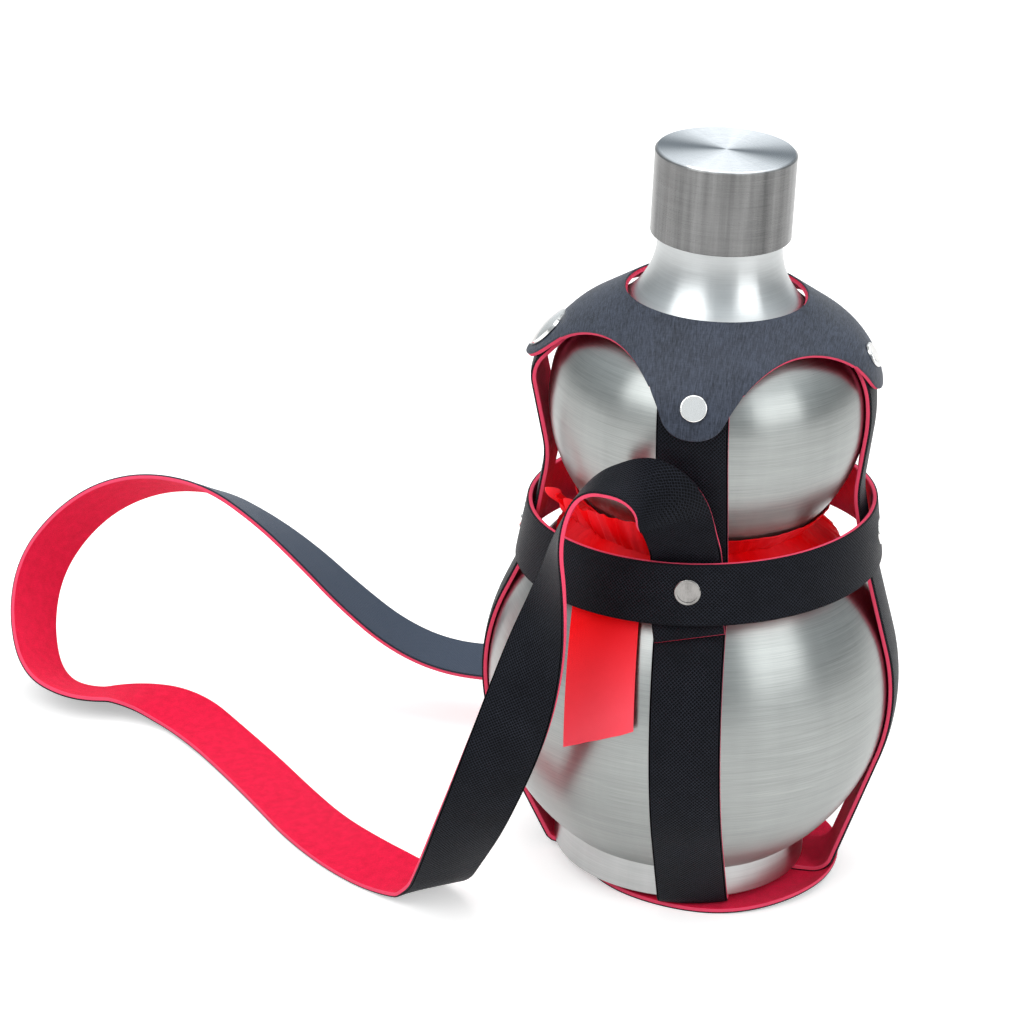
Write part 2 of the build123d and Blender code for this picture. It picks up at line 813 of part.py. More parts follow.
def make_snap_cap():
    """Domed press-stud head on the left arm."""
    edge = (snap_cap_radius, snap_cap_thickness)
    crown = (0, snap_cap_thickness + snap_cap_dome)
    ball_radius = (snap_cap_radius**2 + snap_cap_dome**2) / (2 * snap_cap_dome)
    half_turn = asin(snap_cap_radius / ball_radius) / 2
    middle = along((0, crown[1] - ball_radius), 90 - degrees(half_turn), ball_radius)
    edges = [
        Line((0, 0), (snap_cap_radius, 0)),
        Line((snap_cap_radius, 0), edge),
        ThreePointArc(edge, middle, crown),
        Line(crown, (0, 0)),
    ]
    return snap_seat() * spin(make_face(Wire(edges)))


def make_snap_socket():
    inner = snap_stud_radius + snap_clearance
    depth = leather - face_thickness / 10
    tube = disc(inner + snap_socket_wall, -depth, 0) - disc(inner, -depth, 0)
    return snap_seat() * tube


def make_snap_stud():
    base = -(leather + yoke_lift)
    flange = disc(snap_stud_flange_radius, base, base + snap_flange_thickness)
    stem = disc(snap_stud_radius, base, base + snap_stud_height + snap_flange_thickness)
    return snap_seat() * (flange + stem)


def make_snap_post():
    """Rivet half inside the left strap that holds the press stud."""
    top = -(leather + yoke_lift)
    bottom = -yoke_stack
    flange = disc(rivet_flange_radius, bottom, bottom + rivet_flange_thickness)
    return snap_seat() * (flange + disc(snap_post_radius, bottom, top))


def base_seat():
    return Pos(harness_shift_x, 0, 0)


def make_base_rivet():
    """Rivet through the pad and both straps, its flange sunk in the pad's face."""
    top = foot_bottom + hop_height
    flange = disc(rivet_flange_radius, pad_rivet_recess, face_thickness)
    post = disc(rivet_post_radius, pad_rivet_recess, top + rivet_cap_thickness / 2)
    cap = disc(rivet_cap_radius, top, top + rivet_cap_thickness)
    return base_seat() * (flange + post + cap)


def base_hole():
    radius = rivet_post_radius + rivet_hole_clearance
    return base_seat() * Cylinder(radius, foot_height * 2)


def make_pad_face():
    plate = Pos(harness_shift_x, harness_shift_y, 0) * disc(pad_radius, 0, face_thickness)
    sink = Cylinder(rivet_flange_radius + rivet_hole_clearance, foot_height * 2)
    return plate - base_seat() * sink


def make_pad_lining():
    plate = Pos(harness_shift_x, harness_shift_y, 0) * disc(pad_radius, face_thickness, leather)
    return plate - base_hole()


def drilled(layer, holes):
    for hole in holes:
        layer = layer - hole
    return layer


def yoke_holes(seats):
    """Post holes and lining counterbores of the yoke rivets."""
    posts, sinks = [], []
    for plane in seats:
        post, sink = rivet_holes(plane, yoke_stack, rivet_flange_radius)
        posts.append(post)
        sinks.append(sink)
    return posts, sinks


def belt_holes():
    """Post holes and lining counterbores of the belt's rivets and stud."""
    posts, sinks = [], []
    depths = (side_stack, side_stack, tucked_stack, tucked_stack)
    for plane, depth in zip(belt_seats() + [stud_seat()], depths):
        post, sink = rivet_holes(plane, depth, rivet_flange_radius)
        posts.append(post)
        sinks.append(sink)
    return posts, sinks


# Ribbon
def bulbs(clearance):
    lower = Pos(0, 0, lower_centre) * Sphere(lower_radius + clearance)
    upper = Pos(0, 0, upper_centre) * Sphere(upper_radius + clearance)
    return lower, upper


def make_waist_ribbon():
    """Ribbon wound into the groove between the bulbs."""
    height = ribbon_wrap_high - ribbon_wrap_low
    wrap = Cylinder(ribbon_wrap_radius, height, align=(Align.CENTER, Align.CENTER, Align.MIN))
    wrap = Pos(0, 0, ribbon_wrap_low) * wrap
    return drilled(wrap, bulbs(layer_gap))


def make_ribbon_knot():
    """Crumpled knot between the front and left straps."""
    ball = Pos(*knot_centre) * Sphere(knot_radius)
    ball = ball & Cylinder(knot_reach, big)
    ball = ball - Cylinder(ribbon_wrap_radius + layer_gap / 3, big)
    return drilled(ball, bulbs(ribbon_gap))


def tail(inner_offset, thickness, left, right, top, low_left, low_right):
    """Ribbon tail on the lower bulb, its end cut on the slant."""
    outer = Sphere(lower_radius + inner_offset + thickness)
    shell = Pos(0, 0, lower_centre) * (outer - Sphere(lower_radius + inner_offset))
    outline = Polyline((left, top), (left, low_left), (right, low_right), (right, top), close=True)
    prism = extrude(Plane.XZ * make_face(outline), big)
    return shell & prism


def make_front_tail():
    return tail(
        front_tail_offset,
        ribbon_thickness,
        front_tail_left,
        front_tail_right,
        front_tail_top,
        front_tail_low_left,
        front_tail_low_right,
    )


def make_rear_tail():
    return tail(
        layer_gap,
        ribbon_thin,
        rear_tail_left,
        rear_tail_right,
        rear_tail_top,
        rear_tail_low,
        rear_tail_low,
    )


# Carry strap
def unit_vector(vector):
    return vector / vector.length


def bend_radii(points):
    """Radius at each corner of the route, as large as its two runs allow."""
    radii = []
    for before, corner, after in zip(points, points[1:], points[2:]):
        arriving = corner - before
        leaving = after - corner
        turn = radians(arriving.get_angle(leaving))
        shorter = min(arriving.length, leaving.length)
        radii.append(bend_share * shorter / tan(turn / 2))
    return radii


def width_at(marks, share):
    """Width direction blended between the two stations round a share of the run."""
    index = 0
    while index < len(marks) - 2 and share > marks[index + 1]:
        index += 1
    blend = (share - marks[index]) / (marks[index + 1] - marks[index])
    first = unit_vector(Vector(*strap_stations[index][1]))
    second = unit_vector(Vector(*strap_stations[index + 1][1]))
    return first * (1 - blend) + second * blend


def strap_frames():
    """Planes along the carry strap: x along its width, z along its run."""
    centres = [Vector(*point) for point, _ in strap_stations]
    run = FilletPolyline(*centres, radius=bend_radii(centres))
    reach = [0.0]
    for first, second in zip(centres, centres[1:]):
        reach.append(reach[-1] + (second - first).length)
    marks = [distance / reach[-1] for distance in reach]
    steps = round(run.length / strap_step)
    frames = []
    for step in range(steps + 1):
        share = step / steps
        heading = run % share
        across = width_at(marks, share)
        across = unit_vector(across - heading * across.dot(heading))
        frames.append(Plane(origin=run @ share, x_dir=across, z_dir=heading))
    return run, frames


def strap_tube(low, high):
    """Layer of the carry strap between two depths from its outer face."""
    _, frames = strap_frames()
    middle = leather / 2
    sections = []
    for plane in frames:
        depth = middle - (low + high) / 2
        sections.append(plane * Pos(0, -depth, 0) * Rectangle(strap_width, high - low))
    return loft(sections, ruled=True)


def carry_layer(low, high):
    posts, _ = belt_holes()
    return drilled(strap_tube(low, high), posts[2:])


def make_nodes():
    yoke_posts, yoke_sinks = yoke_holes(yoke_seats())
    belt_posts, belt_sinks = belt_holes()
    posts = yoke_posts + belt_posts + [base_hole()]
    snap_post_hole, snap_sink = rivet_holes(snap_seat(), yoke_stack, rivet_flange_radius)
    strap_holes = posts + [snap_post_hole]
    sinks = yoke_sinks + belt_sinks + [snap_sink]
    return {
        "lower_bulb": make_lower_bulb(),
        "upper_bulb": make_upper_bulb(),
        "foot_ring": make_foot_ring(),
        "bottom_plate": make_bottom_plate(),
        "mouth_collar": make_mouth_collar(),
        "cap_shell": make_cap_shell(),
        "cap_liner": make_cap_liner(),
        "cap_gasket": make_cap_gasket(),
        "pad_face": make_pad_face(),
        "pad_lining": make_pad_lining(),
        "long_strap_face": drilled(long_strap(lining_thickness, leather), strap_holes),
        "long_strap_lining": drilled(long_strap(0, lining_thickness), strap_holes + sinks),
        "side_strap_face": drilled(side_strap(lining_thickness, leather), strap_holes),
        "side_strap_lining": drilled(side_strap(0, lining_thickness), strap_holes + sinks),
        "belt_face": drilled(belt_layer(lining_thickness, leather), belt_posts),
        "belt_lining": drilled(belt_layer(0, lining_thickness), belt_posts),
        "yoke_face": drilled(yoke_layer(lining_thickness, leather), yoke_posts),
        "yoke_lining": drilled(yoke_layer(0, lining_thickness), yoke_posts),
        "flap_face": flap_layer(lining_thickness, leather),
        "flap_lining": flap_layer(0, lining_thickness),
        "snap_cap": make_snap_cap(),
        "snap_socket": make_snap_socket(),
        "snap_stud": make_snap_stud(),
        "snap_post": make_snap_post(),
        "yoke_rivets": Compound([plane * rivet(yoke_stack) for plane in yoke_seats()]),
        "belt_rivets": Compound(
            [
                plane * rivet(depth)
                for plane, depth in zip(belt_seats(), (side_stack, side_stack, tucked_stack))
            ]
        ),
        "belt_stud": stud_seat() * rimmed_stud(tucked_stack),
        "base_rivet": make_base_rivet(),
        "waist_ribbon": make_waist_ribbon(),
        "ribbon_knot": make_ribbon_knot(),
        "ribbon_front_tail": make_front_tail(),
        "ribbon_rear_tail": make_rear_tail(),
        "carry_strap_face": carry_layer(0, face_thickness),
        "carry_strap_lining": carry_layer(face_thickness, leather),
    }


if __name__ == "__main__":
    os.makedirs("parts", exist_ok=True)
    print("waist", waist_radius, waist_height, "neck top", neck_top_height)
    route = [Vector(*point) for point, _ in strap_stations]
    strap_length = strap_frames()[0].length
    print("carry strap length", strap_length, "volume if straight", strap_length * strap_width * leather)
    print("carry strap bend radii", [round(radius) for radius in bend_radii(route)])
    for name, solid in make_nodes().items():
        solid.label = name
        export_step(solid, f"parts/{name}.step")
        print(name, round(solid.volume), solid.is_valid, len(solid.solids()))
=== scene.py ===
"""Dresses the gourd-shaped steel bottle and its riveted leather harness.

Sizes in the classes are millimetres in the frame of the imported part: +Z up, the
origin on the bottle's axis under the base pad, the front strap towards -Y.

THICKNESS is a strap's leather and felt together and LINING_DEPTH the felt alone.
YOKE_LIFT is the gap between the steel and the yoke, and SNAP_ANGLE the way that the
yoke's left arm faces, in degrees above level. Smooth shading stops at edges sharper
than SHARP_ANGLE. Angles kept in fields are degrees.
"""

import logging
from dataclasses import dataclass
from enum import Enum
from math import acos, atan2, cos, degrees, hypot, pi, radians, sin
from typing import Any

import bmesh
import bpy
import numpy as np
from mathutils import Matrix, Vector

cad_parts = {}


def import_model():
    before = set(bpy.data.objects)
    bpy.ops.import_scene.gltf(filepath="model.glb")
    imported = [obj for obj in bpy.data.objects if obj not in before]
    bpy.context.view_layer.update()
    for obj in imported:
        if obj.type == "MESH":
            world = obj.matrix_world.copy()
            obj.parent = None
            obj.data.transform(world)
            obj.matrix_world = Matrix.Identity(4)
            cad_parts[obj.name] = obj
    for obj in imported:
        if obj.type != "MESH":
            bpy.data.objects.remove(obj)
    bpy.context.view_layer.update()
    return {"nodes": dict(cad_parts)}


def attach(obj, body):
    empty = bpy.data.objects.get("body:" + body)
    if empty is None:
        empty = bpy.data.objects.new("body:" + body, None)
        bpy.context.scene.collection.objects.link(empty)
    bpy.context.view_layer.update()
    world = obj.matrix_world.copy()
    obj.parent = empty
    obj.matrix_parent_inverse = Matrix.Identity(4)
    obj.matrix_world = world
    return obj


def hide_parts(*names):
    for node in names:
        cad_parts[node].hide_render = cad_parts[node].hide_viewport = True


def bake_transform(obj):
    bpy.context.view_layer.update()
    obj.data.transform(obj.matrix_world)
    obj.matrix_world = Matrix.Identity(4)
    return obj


MM = 0.001
LINING_DEPTH = 1.1
THICKNESS = 1.6
YOKE_LIFT = 2.45
SNAP_ANGLE = 42.0
SHARP_ANGLE = 50.0

log = logging.getLogger("gourd_bottle")
Point = tuple[float, float]
Pulley = tuple[Point, float]
Colour = tuple[float, float, float, float]
Shape = tuple[np.ndarray, np.ndarray, dict[str, np.ndarray]]
WHITE = (1.0, 1.0, 1.0, 1.0)


class Layer(Enum):
    """The two layers that every strap is cut from, as depths from its inner side."""

    FACE = (LINING_DEPTH, THICKNESS)
    LINING = (0.0, LINING_DEPTH)

    @property
    def word(self) -> str:
        """The layer's part of a piece's name."""
        return self.name.lower()

    @property
    def low(self) -> float:
        """Depth of the layer's inner side."""
        return self.value[0]

    @property
    def high(self) -> float:
        """Depth of the layer's outer side."""
        return self.value[1]


class Value:
    """A number that changes over a surface: a shader socket with arithmetic."""

    def __init__(self, net: "Net", socket: bpy.types.NodeSocket) -> None:
        """Keeps the net and the socket that gives the number."""
        self.net = net
        self.socket = socket

    def _math(self, operation: str, *terms: Any, clamp: bool = False) -> "Value":
        """Adds one Math node.

        Args:
            operation: The Math node's operation.
            terms: Its inputs, values or plain numbers.
            clamp: Whether the result is held between 0 and 1.

        Returns:
            The node's result.
        """
        settings = {"operation": operation, "use_clamp": clamp}
        made = self.net.node("ShaderNodeMath", settings, dict(enumerate(terms)))
        return Value(self.net, made.outputs[0])

    def __add__(self, other: Any) -> "Value":
        """Sum."""
        return self._math("ADD", self, other)

    def __radd__(self, other: Any) -> "Value":
        """Sum with a number on the left."""
        return self._math("ADD", other, self)

    def __sub__(self, other: Any) -> "Value":
        """Difference."""
        return self._math("SUBTRACT", self, other)

    def __rsub__(self, other: Any) -> "Value":
        """Difference with a number on the left."""
        return self._math("SUBTRACT", other, self)

    def __mul__(self, other: Any) -> "Value":
        """Product."""
        return self._math("MULTIPLY", self, other)

    def __rmul__(self, other: Any) -> "Value":
        """Product with a number on the left."""
        return self._math("MULTIPLY", other, self)

    def __truediv__(self, other: Any) -> "Value":
        """Quotient."""
        return self._math("DIVIDE", self, other)

    def __pow__(self, other: Any) -> "Value":
        """Power."""
        return self._math("POWER", self, other)

    def __abs__(self) -> "Value":
        """Size without its sign."""
        return self._math("ABSOLUTE", self)

    def sine(self) -> "Value":
        """Sine of the value in radians."""
        return self._math("SINE", self)

    def larger(self, other: Any) -> "Value":
        """The larger of two values."""
        return self._math("MAXIMUM", self, other)

    def angle_from(self, other: "Value") -> "Value":
        """Angle whose tangent is this value over the other."""
        return self._math("ARCTAN2", self, other)

    def root(self) -> "Value":
        """Square root."""
        return self._math("SQRT", self)

    def held(self) -> "Value":
        """The value held between 0 and 1."""
        return self._math("ADD", self, 0.0, clamp=True)

    def between(self, low: float, high: float) -> "Value":
        """Rises from 0 at low to 1 at high, smoothly.

        Args:
            low: Where the rise starts.
            high: Where it ends.

        Returns:
            The smooth step.
        """
        settings = {"interpolation_type": "SMOOTHSTEP"}
        inputs = {"Value": self, "From Min": low, "From Max": high}
        made = self.net.node("ShaderNodeMapRange", settings, inputs)
        return Value(self.net, made.outputs[0])


class Net:
    """The node tree of one material or of the world."""

    def __init__(self, owner: bpy.types.Material | bpy.types.World) -> None:
        """Empties the owner's node tree."""
        self.owner = owner
        owner.use_nodes = True
        self.tree = owner.node_tree
        self.tree.nodes.clear()

    def node(
        self,
        kind: str,
        settings: dict[str, Any] | None = None,
        inputs: dict | None = None,
    ) -> bpy.types.Node:
        """Adds a node, its settings first and then its inputs.

        Args:
            kind: The node's type.
            settings: Attributes of the node; "stops" fills a colour ramp.
            inputs: Values or links by socket name or number.

        Returns:
            The new node.
        """
        made = self.tree.nodes.new(kind)
        for key, value in (settings or {}).items():
            setattr(made, key, value)
        for key, value in (inputs or {}).items():
            source = value.socket if isinstance(value, Value) else value
            if isinstance(source, bpy.types.NodeSocket):
                self.tree.links.new(source, made.inputs[key])
            else:
                made.inputs[key].default_value = source
        return made

    def position(self) -> tuple[Value, Value, Value]:
        """Object coordinates, in metres."""
        place = self.node("ShaderNodeTexCoord").outputs["Object"]
        return self.split(place)

    def grain(self) -> tuple[Value, Value, Value]:
        """The piece's own coordinates: across, along and depth, in millimetres."""
        stored = self.node("ShaderNodeAttribute", {"attribute_name": "grain"})
        return self.split(stored.outputs["Vector"])

    def mark(self, name: str) -> Value:
        """A number stored on the piece's points."""
        stored = self.node("ShaderNodeAttribute", {"attribute_name": name})
        return Value(self, stored.outputs["Fac"])

    def split(self, vector: bpy.types.NodeSocket) -> tuple[Value, Value, Value]:
        """The three parts of a vector."""
        parts = self.node("ShaderNodeSeparateXYZ", None, {0: vector}).outputs
        return Value(self, parts[0]), Value(self, parts[1]), Value(self, parts[2])

    def vector(self, x: Any, y: Any, z: Any) -> bpy.types.NodeSocket:
        """A vector from three numbers."""
        return self.node("ShaderNodeCombineXYZ", None, {0: x, 1: y, 2: z}).outputs[0]

    def noise(
        self,
        where: bpy.types.NodeSocket,
        scale: float,
        detail: float = 2.0,
        rough: float = 0.5,
    ) -> Value:
        """Cloudy noise from 0 to 1.

        Args:
            where: Coordinates.
            scale: Cells for each unit of the coordinates.
            detail: Number of finer layers.
            rough: Share that each finer layer keeps.

        Returns:
            The noise.
        """
        inputs = {"Vector": where, "Scale": scale, "Detail": detail, "Roughness": rough}
        return Value(self, self.node("ShaderNodeTexNoise", None, inputs).outputs[0])

    def mix(self, share: Any, first: Any, second: Any) -> bpy.types.NodeSocket:
        """Blend of two colours.

        Args:
            share: How much of the second.
            first: Colour at share 0.
            second: Colour at share 1.

        Returns:
            The blended colour.
        """
        settings = {"data_type": "RGBA", "clamp_factor": True}
        return self.node("ShaderNodeMix", settings, {0: share, 6: first, 7: second}).outputs[2]

    def bump(self, height: Value, distance: float, strength: float = 1.0) -> bpy.types.NodeSocket:
        """Normal bent by a height.

        Args:
            height: Height from 0 to 1.
            distance: What a height of 1 stands for, in metres.
            strength: How much of the bend shows.

        Returns:
            The bent normal.
        """
        inputs = {"Height": height, "Distance": distance, "Strength": strength}
        return self.node("ShaderNodeBump", None, inputs).outputs[0]

    def finish(self, **inputs: Any) -> bpy.types.Material:
        """Closes the net with a Principled shader.

        Args:
            inputs: The shader's sockets, blanks written as underscores.

        Returns:
            The material.
        """
        values = {key.replace("_", " "): value for key, value in inputs.items()}
        shader = self.node("ShaderNodeBsdfPrincipled", None, values)
        self.node("ShaderNodeOutputMaterial", None, {"Surface": shader.outputs[0]})
        return self.owner


@dataclass(frozen=True)
class BrushedSteel:
    """Turned and brushed stainless steel, its lines running round the axis."""

    name: str
    centre: float | None
    radius: float
    colour: Colour = (0.375, 0.39, 0.38, 1.0)
    dark: Colour = (0.235, 0.248, 0.24, 1.0)
    roughness: float = 0.33
    anisotropy: float = 0.72
    bands: float = 0.5
    lines: float = 1.5
    # The neck colour is a painted highlight: brighter steel above the neck's height stands in for
    # the light there.
    neck: float | None = None
    neck_run: float = 14.0
    neck_painted_light: Colour = (0.56, 0.58, 0.58, 1.0)
    # The top colour is partly a turned finish and partly painted light from above; the wedge colour
    # paints two dark reflections on it.
    top: float | None = None
    top_finish_and_light: Colour = (0.8, 0.82, 0.84, 1.0)
    painted_dark_wedge: Colour = (0.1, 0.12, 0.14, 1.0)

    def build(self) -> bpy.types.Material:
        """Lines are noise drawn out round the axis and fine across it.

        Above the neck's height the colour turns brighter, a painted highlight. Above
        the top's height it is paler still, partly from its turned finish and partly
        painted light from above, with two dark wedges painted as the reflection that
        a turned face mirrors from a room.

        Returns:
            The material.
        """
        net = Net(bpy.data.materials.new(self.name))
        x, y, z = net.position()
        reach = (x * x + y * y).root()
        if self.centre is None:
            meridian = z - reach
        else:
            meridian = (z - self.centre * MM).angle_from(reach) * (self.radius * MM)
        lines = net.noise(net.vector(x * 55.0, y * 55.0, meridian * 5200.0), 1.0, 4.0, 0.62)
        broad = net.noise(net.vector(x * 30.0, y * 30.0, meridian * 700.0), 1.0, 2.0, 0.5)
        cloud = net.noise(net.vector(x, y, z), 26.0, 3.0, 0.55)
        band = net.noise(net.vector(x / reach, y / reach, z * 2.0), 4.5, 4.0, 0.6)
        tone = (lines - 0.5) * self.lines + (broad - 0.5) * self.lines * 0.35
        tone = tone + (cloud - 0.5) * 0.5 + 0.5
        tone = (tone + (band - 0.5) * self.bands).held()
        colour = net.mix(tone, self.dark, self.colour)
        # Painted highlight: brighter steel above the neck's height.
        if self.neck is not None:
            height = z.between(self.neck * MM, (self.neck + self.neck_run) * MM)
            darker = tuple(0.8 * part for part in self.neck_painted_light)
            colour = net.mix(height, colour, net.mix(tone, darker, self.neck_painted_light))
        # Paler top, partly turned finish and partly painted light, with two painted dark reflection
        # wedges.
        if self.top is not None:
            crown = z.between((self.top - 0.5) * MM, (self.top - 0.1) * MM)
            darker = tuple(0.88 * part for part in self.top_finish_and_light)
            turned = net.mix(tone, darker, self.top_finish_and_light)
            painted_dark_wedge = (x * x / (reach * reach)) ** 4.0
            colour = net.mix(crown, colour, net.mix(painted_dark_wedge, turned, self.painted_dark_wedge))
        return net.finish(
            Base_Color=colour,
            Metallic=1.0,
            Roughness=(self.roughness + (lines - 0.5) * 0.22 + (cloud - 0.5) * 0.1),
            Anisotropic=self.anisotropy,
            Anisotropic_Rotation=0.25,
            Normal=net.bump(lines, 0.00001, 0.35),
        )


@dataclass(frozen=True)
class PolishedNickel:
    """Plated fittings with fine rubbing marks."""

    name: str = "polished_nickel"
    colour: Colour = (0.9, 0.89, 0.87, 1.0)
    dull: Colour = (0.62, 0.61, 0.58, 1.0)

    def build(self) -> bpy.types.Material:
        """Cloudy tarnish and thin scratches that run one way.

        Returns:
            The material.
        """
        net = Net(bpy.data.materials.new(self.name))
        x, y, z = net.position()
        cloud = net.noise(net.vector(x, y, z), 260.0, 3.0, 0.6)
        scratch = net.noise(net.vector(x * 4000.0, y * 700.0, z * 600.0), 1.0, 3.0, 0.7)
        wear = (cloud * 0.7 + scratch * 0.45).between(0.45, 1.1)
        return net.finish(
            Base_Color=net.mix(wear, self.colour, self.dull),
            Metallic=1.0,
            Roughness=0.14 + wear * 0.22,
            Normal=net.bump(scratch, 0.00001, 0.2),
        )


@dataclass(frozen=True)
class CrossHatchLeather:
    """Coated leather embossed with fine crossing diagonal lines."""

    name: str = "cross_hatch_leather"
    ground: Colour = (0.0014, 0.0016, 0.0024, 1.0)
    # The ridge colour is a painted highlight: lighter ridges stand in for glints on the emboss.
    ridge_painted_highlight: Colour = (0.034, 0.038, 0.052, 1.0)
    edge: Colour = (0.014, 0.013, 0.016, 1.0)
    # The sheen colour is a painted reflection: the sky's slate sheen laid over the far stretch of
    # the carry strap.
    sheen: Colour = (0.066, 0.086, 0.125, 1.0)
    pitch: float = 1.06
    roughness: float = 0.45

    def build(self) -> bpy.types.Material:
        """Two families of diagonal ridges, the higher one showing at each point, painted
        lighter as a highlight. A stored mark paints a slate sky reflection on the far stretch.
        """
        net = Net(bpy.data.materials.new(self.name))
        across, along, depth = net.grain()
        place = net.vector(across, along, depth)
        wander = net.noise(place, 0.9, 2.0) * 0.5
        turn = 2.0 * pi / self.pitch
        rising = ((across + along + wander) * turn).sine() * 0.5 + 0.5
        falling = ((across - along + wander) * turn).sine() * 0.5 + 0.5
        pores = net.noise(place, 3.4, 2.0, 0.6)
        rise = (rising ** 6.0).larger(falling ** 6.0) * (pores * 1.3 + 0.1)
        tone_and_sheen = net.noise(place, 0.11, 3.0, 0.6)
        # Painted highlight: the ridges' lighter colour stands in for glints on the emboss.
        tone = (rise * (tone_and_sheen * 0.9 + 0.3)).held()
        # Painted reflection: the stored mark blends in the slate sky sheen.
        coat = net.mix(net.mark("fade"), net.mix(tone, self.ground, self.ridge_painted_highlight), self.sheen)
        return net.finish(
            Base_Color=net.mix(net.mark("edge") * 0.6, coat, self.edge),
            Roughness=self.roughness + (tone_and_sheen - 0.5) * 0.16 - rise * 0.06,
            Specular_IOR_Level=0.05,
            Normal=net.bump(rise, 0.00009, 0.85),
        )


@dataclass(frozen=True)
class GrainedLeather:
    """Smooth slate-coloured leather with a fine drawn grain."""

    name: str = "slate_leather"
    ground: Colour = (0.008, 0.0115, 0.02, 1.0)
    light: Colour = (0.048, 0.06, 0.09, 1.0)
    edge: Colour = (0.045, 0.05, 0.065, 1.0)
    roughness: float = 0.5

    def build(self) -> bpy.types.Material:
        """Noise drawn out along the piece, crossed by short fainter creases.

        Returns:
            The material.
        """
        net = Net(bpy.data.materials.new(self.name))
        across, along, depth = net.grain()
        drawn = net.noise(net.vector(across * 3.6, along * 0.4, depth), 1.0, 3.0, 0.6)
        creases = net.noise(net.vector(across * 0.7, along * 3.3, depth), 1.0, 2.0, 0.6)
        cloud = net.noise(net.vector(across, along, depth), 0.07, 3.0, 0.6)
        height = drawn * 0.75 + creases * 0.25
        tone = ((height - 0.5) * 3.4 + (cloud - 0.5) * 0.8 + 0.5).held()
        coat = net.mix(tone, self.ground, self.light)
        return net.finish(
            Base_Color=net.mix(net.mark("edge") * 0.5, coat, self.edge),
            Roughness=self.roughness + (cloud - 0.5) * 0.16 - (height - 0.5) * 0.2,
            Specular_IOR_Level=0.3,
            Normal=net.bump(height, 0.0002, 0.85),
        )


@dataclass(frozen=True)
class Felt:
    """Pressed crimson felt, paler and more fibrous at a cut edge."""

    name: str = "crimson_felt"
    deep: Colour = (0.58, 0.003, 0.028, 1.0)
    light: Colour = (0.98, 0.012, 0.075, 1.0)
    edge: Colour = (0.88, 0.085, 0.17, 1.0)

    def build(self) -> bpy.types.Material:
        """Short tangled fibres over a slow mottling.

        Returns:
            The material.
        """
        net = Net(bpy.data.materials.new(self.name))
        across, along, depth = net.grain()
        place = net.vector(across, along, depth)
        fibres = net.noise(place, 3.0, 5.0, 0.72)
        mottle = net.noise(place, 0.35, 3.0, 0.6)
        tone = ((fibres - 0.5) * 1.9 + (mottle - 0.5) * 0.9 + 0.55).held()
        wool = net.mix(tone, self.deep, self.light)
        return net.finish(
            Base_Color=net.mix(net.mark("edge") * 0.85, wool, self.edge),
            Roughness=0.86 + (fibres - 0.5) * 0.15,
            Specular_IOR_Level=0.15,
            Sheen_Weight=0.12,
            Sheen_Roughness=0.45,
            Sheen_Tint=(1.0, 0.35, 0.45, 1.0),
            Normal=net.bump(fibres * 0.7 + mottle * 0.3, 0.00035, 0.8),
        )


@dataclass(frozen=True)
class Satin:
    """Red satin ribbon with a fine diagonal twill."""

    name: str = "red_satin"
    deep: Colour = (0.9, 0.0, 0.001, 1.0)
    light: Colour = (1.0, 0.001, 0.008, 1.0)
    # Coral is a painted sheen, the light on the satin laid into its colour.
    coral_sheen: Colour = (1.0, 0.085, 0.12, 1.0)

    def build(self) -> bpy.types.Material:
        """Twill threads run diagonally; a stored mark paints a coral sheen over them.

        Returns:
            The material.
        """
        net = Net(bpy.data.materials.new(self.name))
        across, along, depth = net.grain()
        place = net.vector(across, along, depth)
        drift = net.noise(place, 0.6, 2.0) * 0.25
        twill = ((across * 0.9 + along + drift) * (2.0 * pi / 0.62)).sine() * 0.5 + 0.5
        threads = net.noise(net.vector(across * 5.0, along * 1.2, depth), 1.0, 3.0, 0.6)
        cloud = net.noise(place, 0.12, 2.0, 0.5)
        tone = (twill * 0.35 + threads * 0.45 + (cloud - 0.5) * 0.6 + 0.1).held()
        cloth = net.mix(tone, self.deep, self.light)
        # Painted sheen: the stored mark blends in the coral.
        return net.finish(
            Base_Color=net.mix(net.mark("fade"), cloth, self.coral_sheen),
            Roughness=0.5 + (threads - 0.5) * 0.2,
            Specular_IOR_Level=0.1,
            Sheen_Weight=0.1,
            Sheen_Roughness=0.35,
            Sheen_Tint=(1.0, 0.1, 0.12, 1.0),
            Normal=net.bump(twill * 0.6 + threads * 0.4, 0.00006, 0.7),
        )


@dataclass(frozen=True)
class Moulded:
    """Moulded plastic or rubber with a faint speckle."""

    name: str
    colour: Colour
    speck: Colour
    roughness: float

    def build(self) -> bpy.types.Material:
        """Speckle and a slight orange-peel bump.

        Returns:
            The material.
        """
        net = Net(bpy.data.materials.new(self.name))
        x, y, z = net.position()
        place = net.vector(x, y, z)
        speck = net.noise(place, 900.0, 3.0, 0.6)
        peel = net.noise(place, 2600.0, 2.0, 0.5)
        return net.finish(
            Base_Color=net.mix(speck.between(0.35, 0.75), self.colour, self.speck),
            Roughness=self.roughness + (speck - 0.5) * 0.2,
            Normal=net.bump(peel, 0.00004, 0.5),
        )


def signed_volume(points: np.ndarray, quads: np.ndarray) -> float:
    """Volume inside a closed mesh, negative where its faces look inwards.

    Args:
        points: Points, one row each.
        quads: Four point numbers for each face.

    Returns:
        Sum over the two triangles of each face of their signed tetrahedra.
    """
    total = 0.0
    for first, second, third in ((0, 1, 2), (0, 2, 3)):
        a, b, c = points[quads[:, first]], points[quads[:, second]], points[quads[:, third]]
        total += float(np.einsum("ij,ij->i", a, np.cross(b, c)).sum())
    return total / 6.0


